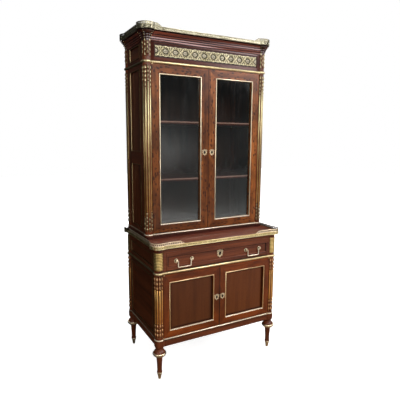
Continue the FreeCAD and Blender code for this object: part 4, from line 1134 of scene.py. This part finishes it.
# ---------------------------------------------------------------- beads of doors and sides
for st, face, (x0, x1, z0, z1) in (("bookcase", -90.5, (54.5, 350.5, 967.0, 1917.0)), ("cupboard", -263.5, (44.5, 366.5, 318.0, 640.5))):
    prof = [(0.0, 0.0), (0.1, -1.2), (0.7, -2.4), (1.8, -3.2), (3.0, -3.4), (4.2, -3.0), (5.2, -2.0), (5.8, -0.6), (6.0, 1.0), (6.0, 6.0),
            (5.0, 6.0), (5.0, 0.0)]
    pat = [0.5, 0.35, 0.05, 0.0, 0.0, 0.0, 0.05, 0.3, 0.85, 0.97, 0.9, 0.8]
    for side, sx in (("right", 1.0), ("left", -1.0)):
        g = Geo()
        rings = [[(sx * a(t), face + d, b(t)) for t, d in prof]
                 for a, b in ((lambda t: x0 + t, lambda t: z0 + t), (lambda t: x1 - t, lambda t: z0 + t), (lambda t: x1 - t, lambda t: z0 + t + 4.0),
                              (lambda t: x1 - t, lambda t: z1 - t), (lambda t: x0 + t, lambda t: z1 - t), (lambda t: x0 + t, lambda t: z0 + t + 4.0))]
        # painted highlight: the bottom rail's bead has less tarnish and the brighter handle brass, as if lit from above
        low = [0.3 * q for q in pat]
        loft(g, rings + [rings[0]], cap=False, patina_and_shade=low + low + pat * 4 + low)
        g.m[:len(prof)] = [1] * len(prof)
        mats = ["brass_bright" if st == "bookcase" else "brass_bead", "brass_handle"]
        g.make(f"{st}_{side}_moulded_bead", f"{st}_{side}_door", "brass", mats, [f"{st}_{side}_door_bead"], angle=50.0)

g = Geo()
prof = [(-4.0, 0.0), (-3.9, 0.9), (-3.3, 1.8), (-2.3, 2.5), (-1.2, 2.7), (-0.1, 2.4), (0.8, 1.6), (1.3, 0.5), (1.4, -1.2), (0.0, -1.2), (0.0, 0.0)]
pat = [0.6, 0.35, 0.05, 0.0, 0.0, 0.0, 0.05, 0.3, 0.6, 0.6, 0.6]
for xf, y0, y1, zs in ((449.0, -190.5, 200.5, ((299.0, 665.0), (739.0, 809.0))),
                       (442.0, 5.5, 177.5, ((944.0, 1352.0), (1440.0, 1943.0), (2013.0, 2088.0)))):
    # painted light: the rear uprights stay brighter, most on the upper panels, while the rest of each bead is darkened
    # as painted shade
    shaded_rest = [min(0.97, q + 0.86) for q in pat]
    for z0, z1 in zs:
        back = [min(0.97, q + (0.18 if z0 > 900.0 else 0.3 if z0 > 730.0 else 0.6)) for q in pat]
        for sx in (1.0, -1.0):
            rings = []
            for fy, fz, t_y, t_z in ((y0, z0, 1.0, 1.0), (y1 - 9.0, z0, 0.0, 1.0), (y1, z0, -1.0, 1.0), (y1, z1, -1.0, -1.0), (y1 - 9.0, z1, 0.0, -1.0), (y0, z1, 1.0, -1.0)):
                rings.append([(sx * (xf + d), fy + t_y * t, fz + t_z * t) for t, d in prof])
            loft(g, rings + [rings[0]], cap=False, patina_and_shade=shaded_rest + shaded_rest + back + back + shaded_rest + shaded_rest + shaded_rest)
g.make("side_panel_beads", "case", "brass", ["brass"], ["side_beads"], angle=50.0)

# ---------------------------------------------------------------- wood mouldings round the drawer
g = Geo()
rects = [(385.0, 717.0, 812.0, 0.4), (385.0, 717.0, 812.0, -3.2), (384.4, 717.6, 811.4, -3.8), (378.4, 738.6, 804.2, -3.8), (377.8, 739.3, 803.4, -3.3),
         (377.0, 740.0, 802.4, -1.6), (374.0, 741.6, 800.6, -0.7), (370.4, 743.4, 798.8, -0.4), (369.8, 744.0, 798.2, 0.4)]
rings = [[(-x, SUNK + d, z0), (x, SUNK + d, z0), (x, SUNK + d, z1), (-x, SUNK + d, z1)] for x, z0, z1, d in rects]
b0 = len(g.f)
loft(g, rings + [rings[0]], cap=False)
# painted light: the bottom cove takes the lighter edge wood, the other three sides the near-black groove wood
for i in range(4, 7):
    for j in range(4):
        g.m[b0 + i * 4 + j] = 2 if j == 0 else 1
g.make("fall_edge_moulding", "fall", "mahogany", ["mahogany_X", "groove_shade", "edge"], angle=30.0)

# ---------------------------------------------------------------- feet
gw, gb = Geo(), Geo()
for sx in (1.0, -1.0):
    for cy in (LOW["cf"], LOW["cr"]):
        def place(x, y, h, sx=sx, cy=cy):
            return (sx * LOW["a"] + x, cy + y, h)

        prof = [(0.0, 45.5), (15.4, 45.5)] + smooth([(16.0, 46.4), (17.4, 47.4), (17.9, 49.6), (17.4, 52.0), (15.8, 53.4)], 4)
        prof += smooth([(15.4, 55.0), (15.6, 70.0), (16.6, 100.0), (18.6, 130.0), (20.4, 156.0)], 4)
        prof += [(20.4, 176.0), (36.6, 182.6)]
        prof += smooth([(37.2, 184.2), (36.2, 188.4), (33.2, 194.0), (28.0, 200.4), (22.6, 206.0), (19.2, 209.0)], 4) + [(0.0, 209.5)]
        lathe(gw, prof, place, n=56)
        ring = [(20.4, 155.4), (21.6, 154.6)] + smooth([(22.8, 155.0), (27.0, 156.6), (33.0, 160.4), (38.4, 166.0)], 4)
        ring += [(39.2, 167.0), (39.6, 168.6)] + smooth([(40.8, 169.8), (43.0, 172.4), (43.5, 176.4), (42.8, 180.4), (40.6, 183.4)], 4)
        ring += [(38.8, 184.4), (37.0, 184.2), (20.4, 178.0)]
        lathe(gb, ring, place, n=72, patina_and_shade=[0.4 if 38.9 < r < 40.2 and z < 169.0 else 0.0 for r, z in ring])
        tip = [(0.0, 0.0), (7.0, 0.0), (8.0, 0.6)] + smooth([(8.4, 2.0), (10.0, 12.0), (12.2, 24.0), (14.2, 34.5)], 4)
        tip += [(14.6, 35.8), (16.0, 36.6)] + smooth([(16.8, 38.0), (17.2, 41.0), (16.8, 44.2), (15.4, 45.8)], 4) + [(0.0, 46.0)]
        lathe(gb, tip, place, n=48, patina_and_shade=[0.4 if 34.8 < z < 37.4 else 0.0 for r, z in tip])
gw.make("turned_leg_shafts", "case", "mahogany", ["mahogany_Z"], ["turned_feet"])
gb.make("leg_rings_and_tips", "case", "brass", ["brass_bright"], ["foot_mounts"])

# ---------------------------------------------------------------- back: upright boards with chamfered joints
g = Geo()
rng = random.Random(7)
for x0, x1, z0, z1, n in ((-403.0, 403.0, 256.0, 863.0, 6), (-403.0, 403.0, 898.0, 2097.5, 6)):
    cuts = [x0]
    for i in range(1, n):
        cuts.append(x0 + (x1 - x0) * i / n + rng.uniform(-14.0, 14.0))
    cuts.append(x1)
    for a, b in zip(cuts, cuts[1:]):
        bow = rng.uniform(0.0, 0.35)
        sec = [(a, 272.2), (b, 272.2), (b, 279.4), (b - 2.2, 281.6 - bow), ((a + b) / 2, 281.7), (a + 2.2, 281.6 - bow), (a, 279.4)]
        rings = [[(x, y, z0 + 0.5 + (z1 - z0 - 1.0) * i / 6) for x, y in sec] for i in range(7)]
        b0 = len(g.f)
        loft(g, rings)
        for i in range(6):
            g.m[b0 + i * len(sec)] = 1
for sx in (1.0, -1.0):
    sec = [(sx * 403.0, 272.2), (sx * 409.8, 272.2), (sx * 409.8, 281.4), (sx * 403.0, 281.4)]
    loft(g, [[(x, y, z) for x, y in sec] for z in (265.0, 862.5)])
g.make("upright_backboards", "case", "inner_wood", ["back", "inner_Z"], ["backboards"], angle=20.0)


# ---------------------------------------------------------------- CAD nodes that stay: grain along each member, eased edges
def members(ob):
    """Connected members of a mesh: polygon lists with their boxes in metres."""
    me = ob.data
    key = {}
    ids = []
    for q in me.vertices:
        t = (round(q.co.x * 1e5), round(q.co.y * 1e5), round(q.co.z * 1e5))
        ids.append(key.setdefault(t, len(key)))
    par = list(range(len(key)))

    def find(i):
        while par[i] != i:
            par[i] = par[par[i]]
            i = par[i]
        return i

    for p in me.polygons:
        r = find(ids[p.vertices[0]])
        for q in p.vertices[1:]:
            par[find(ids[q])] = r
    groups = {}
    for p in me.polygons:
        groups.setdefault(find(ids[p.vertices[0]]), []).append(p.index)
    out = []
    for polys in groups.values():
        co = [me.vertices[q].co for i in polys for q in me.polygons[i].vertices]
        lo = Vector([min(c[k] for c in co) for k in range(3)])
        hi = Vector([max(c[k] for c in co) for k in range(3)])
        out.append((polys, lo, hi))
    return out


def grained(node, family, small=None):
    """Wood on each member of a node along its own length; small names a material for turned bits."""
    ob = NODES[node]
    me = ob.data
    me.materials.clear()
    names = [f"{family}_{ax}" for ax in "XYZ"] + ([small] if small else [])
    for q in names:
        me.materials.append(M[q])
    for polys, lo, hi in members(ob):
        d = hi - lo
        k = 3 if small and max(d) < 0.022 else max(range(3), key=lambda i: d[i])
        for i in polys:
            me.polygons[i].material_index = k
    return ob


def plain(node, mat):
    me = NODES[node].data
    me.materials.clear()
    me.materials.append(M[mat])
    for p in me.polygons:
        p.material_index = 0
    return NODES[node]


def eased(node, width):
    """Welded, flat faces made whole and edges softened by a small bevel."""
    ob = NODES[node]
    at = ob.data.attributes.get("custom_normal")
    if at is not None:
        ob.data.attributes.remove(at)
    ob.data.polygons.foreach_set("use_smooth", [False] * len(ob.data.polygons))
    w = ob.modifiers.new("weld", "WELD")
    w.merge_threshold = 2e-5
    d = ob.modifiers.new("planes", "DECIMATE")
    d.decimate_type = "DISSOLVE"
    d.angle_limit = math.radians(1.0)
    d.delimit = {"MATERIAL"}
    b = ob.modifiers.new("ease", "BEVEL")
    b.width = width * MM
    b.segments = 2
    b.limit_method = "ANGLE"
    b.angle_limit = math.radians(40.0)
    return ob


for node in ("bookcase_left_door_frame", "bookcase_right_door_frame"):
    plain(node, "bookcase_frame")
    eased(node, 0.7)
for node in ("cupboard_left_door_frame", "cupboard_right_door_frame"):
    plain(node, "cupboard_frame")
    eased(node, 0.7)
for node, mat in (("cupboard_left_door_panel", "shaded_panel_left"), ("cupboard_right_door_panel", "panel")):
    plain(node, mat)
    eased(node, 0.5)
plain("bookcase_left_door_pane", "glass")
plain("bookcase_right_door_pane", "glass_right")
for node in ("side_frames", "side_panels"):
    grained(node, "side")
    eased(node, 0.6)
for node in ("drawer_rails", "fall_front"):
    plain(node, "mahogany_X")
    eased(node, 0.6)
# faces of the frieze recess floor take the dark recess wood: painted shade
plain("frieze_board", "frieze_wood").data.materials.append(M["margin"])
for q in NODES["frieze_board"].data.polygons:
    q.material_index = 1 if q.normal.y < -0.8 and q.center.y > -0.0890 else 0
eased("frieze_board", 0.6)
for node in ("plinth_rails", "base_posts", "bookcase_posts"):
    grained(node, "mahogany")
NODES["plinth_rails"].data.materials.append(M["plinth"])
for q in NODES["plinth_rails"].data.polygons:
    if q.center.z > 0.8:
        q.material_index = 3
plain("base_top", "top")
plain("shelves", "shelf")
eased("shelves", 0.8)
# shelf lippings in the pale lipping wood, a painted highlight
g = Geo()
for zt, half, y in ((484.0, 408.0, -230.5), (1264.0, 400.0, None), (1634.0, 400.0, None)):
    if y is None:
        y = min(q.co.y for q in NODES["shelves"].data.vertices if abs(q.co.z - zt * MM) < 0.0005) / MM
        half = max(q.co.x for q in NODES["shelves"].data.vertices if abs(q.co.z - zt * MM) < 0.0005 and q.co.y < y * MM + 0.001) / MM - 0.6
    sec = [(y + 0.3, zt - 0.2), (y - 0.5, zt - 0.2), (y - 1.2, zt - 0.9), (y - 1.6, zt - 2.4), (y - 1.6, zt - 7.4), (y - 1.2, zt - 8.8), (y - 0.5, zt - 9.5), (y + 0.3, zt - 9.5)]
    loft(g, [[(x, yy, z) for yy, z in sec] for x in (-half, -half / 3.0, half / 3.0, half)])
g.make("shelf_lippings", "case", "inner_wood", ["shelf_edge"], angle=30.0)
for node in ("case_boards", "drawer_box"):
    grained(node, "inner")
NODES["drawer_box"].data.materials.append(M["mahogany_X"])
for q in NODES["drawer_box"].data.polygons:
    if q.normal.y < -0.8 and q.center.y < -0.2600:
        q.material_index = 3
for node in ("case_boards", "drawer_box"):
    eased(node, 0.8)
for node in ("small_drawer_left", "small_drawer_right"):
    grained(node, "mahogany", "brass")
plain("drawer_leather", "leather_desk")
plain("fall_leather", "leather_fall")
for node in ("shelf_pins", "fixed_pivots", "quadrant_stays", "bookcase_left_door_pivots", "bookcase_right_door_pivots",
             "cupboard_left_door_pivots", "cupboard_right_door_pivots"):
    plain(node, "brass")
for node in ("bookcase_door_lock", "cupboard_door_lock", "fall_lock", "bookcase_lock_bolt", "cupboard_lock_bolt", "fall_lock_bolt"):
    plain(node, "steel")
    eased(node, 0.4)

# ---------------------------------------------------------------- stage, light, camera
sc = bpy.context.scene
sc.view_settings.view_transform = "Standard"
sc.view_settings.look = "None"
sc.view_settings.exposure = 0.0
sc.view_settings.gamma = 1.0

fl = Net("pale_floor")
lp = fl.new("ShaderNodeLightPath").outputs["Is Camera Ray"]
tone = fl.noise(fl.vec("MULTIPLY", fl.coords(), (1.5, 1.5, 1.5)), detail=2.0).outputs[0]
d1 = fl.new("ShaderNodeBsdfDiffuse")
d2 = fl.new("ShaderNodeBsdfDiffuse")
fl.put(d2.inputs["Color"], fl.mix(tone, (0.78, 0.78, 0.78, 1.0), (0.82, 0.82, 0.82, 1.0)))
em = fl.new("ShaderNodeEmission")
em.inputs["Color"].default_value = (1.0, 1.0, 1.0, 1.0)
fx, fy, fz = fl.split(fl.coords())
far = fl.math("SQRT", fl.math("ADD", fl.math("MULTIPLY", fx, fx), fl.math("MULTIPLY", fy, fy)))
near = fl.math("MULTIPLY_ADD", far, 0.55, -0.55, clamp=True)
ahead = fl.math("MAXIMUM", fl.math("MULTIPLY_ADD", fy, -0.65, 0.30, clamp=True), 0.04)
ahead = fl.math("MULTIPLY", ahead, fl.math("MAXIMUM", fl.math("MULTIPLY_ADD", fx, 0.5, 1.0, clamp=True), 0.10))
fl.put(d1.inputs["Color"], fl.mix(ahead, (0.0, 0.0, 0.0, 1.0), fl.mix(near, (0.54, 0.38, 0.25, 1.0), (0.66, 0.65, 0.64, 1.0))))
far = fl.math("MULTIPLY_ADD", far, 0.22, -0.10, clamp=True)
fl.put(em.inputs["Strength"], fl.math("MULTIPLY_ADD", far, 0.55, 0.70))
ad = fl.new("ShaderNodeAddShader")
fl.tree.links.new(d2.outputs[0], ad.inputs[0])
fl.tree.links.new(em.outputs[0], ad.inputs[1])
mx = fl.new("ShaderNodeMixShader")
fl.put(mx.inputs[0], lp)
fl.tree.links.new(d1.outputs[0], mx.inputs[1])
fl.tree.links.new(ad.outputs[0], mx.inputs[2])
fl.tree.links.new(mx.outputs[0], fl.out.inputs["Surface"])

me = bpy.data.meshes.new("floor")
me.from_pydata([(-14, -14, 0), (14, -14, 0), (14, 14, 0), (-14, 14, 0)], [], [(0, 1, 2, 3)])
me.materials.append(fl.mat)
floor = bpy.data.objects.new("floor", me)
sc.collection.objects.link(floor)

world = bpy.data.worlds.new("studio")
sc.world = world
world.use_nodes = True
wt = world.node_tree
wt.nodes.clear()
wo = wt.nodes.new("ShaderNodeOutputWorld")
tc = wt.nodes.new("ShaderNodeTexCoord")
sep = wt.nodes.new("ShaderNodeSeparateXYZ")
wt.links.new(tc.outputs["Generated"], sep.inputs[0])


def wmath(op, a, b=None, c=None, clamp=False):
    n = wt.nodes.new("ShaderNodeMath")
    n.operation = op
    n.use_clamp = clamp
    for i, q in enumerate((a, b, c)):
        if isinstance(q, bpy.types.NodeSocket):
            wt.links.new(q, n.inputs[i])
        elif q is not None:
            n.inputs[i].default_value = q
    return n.outputs[0]


gx = wmath("MULTIPLY_ADD", sep.outputs[0], 0.5, 0.5, clamp=True)
gx = wmath("POWER", gx, 2.0)
gh = wmath("SUBTRACT", 1.0, wmath("MULTIPLY", wmath("ABSOLUTE", wmath("ADD", sep.outputs[2], 0.02)), 6.0), clamp=True)
gt = wmath("MULTIPLY_ADD", sep.outputs[2], 1.2, -0.2, clamp=True)
gv = wmath("MULTIPLY", gx, wmath("MULTIPLY_ADD", gh, 0.04, 0.03))
gv = wmath("ADD", gv, wmath("MULTIPLY_ADD", gt, 0.22, 0.020))
field = wmath("MULTIPLY", wmath("MULTIPLY_ADD", sep.outputs[0], -8.0, 4.0, clamp=True), wmath("MULTIPLY_ADD", sep.outputs[0], 6.0, -0.9, clamp=True))
field = wmath("MULTIPLY", field, wmath("SUBTRACT", 1.0, wmath("MULTIPLY", wmath("ABSOLUTE", wmath("ADD", sep.outputs[2], 0.03)), 12.0), clamp=True))
field = wmath("MULTIPLY", field, wmath("MULTIPLY", sep.outputs[1], -2.0, clamp=True))
gv = wmath("MULTIPLY_ADD", field, 0.36, gv)
lpw = wt.nodes.new("ShaderNodeLightPath")
gv = wmath("MAXIMUM", gv, wmath("MULTIPLY", lpw.outputs["Is Camera Ray"], 1.0))
bg = wt.nodes.new("ShaderNodeBackground")
bg.inputs["Color"].default_value = (1.0, 1.0, 1.0, 1.0)
wt.links.new(gv, bg.inputs["Strength"])
wt.links.new(bg.outputs[0], wo.inputs["Surface"])


def area(name, pos, look, size, power, tone=(1.0, 1.0, 1.0)):
    li = bpy.data.lights.new(name, "AREA")
    li.shape = "RECTANGLE"
    li.size, li.size_y = size
    li.energy = power
    li.color = tone
    ob = bpy.data.objects.new(name, li)
    ob.location = pos
    ob.rotation_mode = "QUATERNION"
    ob.rotation_quaternion = (Vector(look) - Vector(pos)).to_track_quat("-Z", "Y")
    sc.collection.objects.link(ob)
    return ob


area("key", (-0.55, -4.4, 3.3), (0.0, 0.0, 1.15), (2.6, 2.0), 138.0, (1.0, 0.98, 0.95))
area("left_key", (-4.2, -2.5, 1.9), (0.0, 0.0, 0.8), (1.0, 1.7), 60.0, (1.0, 0.95, 0.90))
area("right_accent", (2.8, -3.2, 3.45), (0.0, 0.0, 1.8), (1.4, 1.5), 104.0, (1.0, 0.95, 0.97))
area("right_side", (4.2, -1.0, 2.3), (0.0, 0.0, 1.4), (0.8, 1.8), 18.0)
area("overhead", (0.6, -0.2, 4.8), (0.0, 0.0, 1.0), (3.0, 3.0), 34.0)
area("left_fill", (-3.4, 3.0, 2.2), (0.0, 0.0, 1.2), (0.5, 1.8), 3.0)
area("back_fill", (1.2, 4.4, 2.6), (0.0, 0.0, 1.0), (2.8, 2.5), 95.0)
area("right_fill", (4.4, 1.9, 2.0), (0.0, 0.1, 1.1), (1.6, 2.0), 42.0)

yaw, pitch, roll = math.radians(-28.48136), math.radians(-8.89398), math.radians(0.38328)
aim = Vector((-math.sin(yaw) * math.cos(pitch), math.cos(yaw) * math.cos(pitch), math.sin(pitch)))
right = Vector((math.cos(yaw), math.sin(yaw), 0.0))
up = right.cross(aim)
r2 = right * math.cos(roll) + up * math.sin(roll)
u2 = r2.cross(aim)
cd = bpy.data.cameras.new("camera")
cd.lens = 35.588
cd.sensor_fit = "HORIZONTAL"
cd.sensor_width = 36.0
cd.clip_start, cd.clip_end = 0.05, 100.0
cam = bpy.data.objects.new("camera", cd)
cam.location = (-1.3216, -2.4152, 1.5265)
rot = [[r2[i], u2[i], -aim[i]] for i in range(3)]
from mathutils import Matrix
cam.rotation_mode = "QUATERNION"
cam.rotation_quaternion = Matrix(rot).to_quaternion()
sc.collection.objects.link(cam)
sc.camera = cam
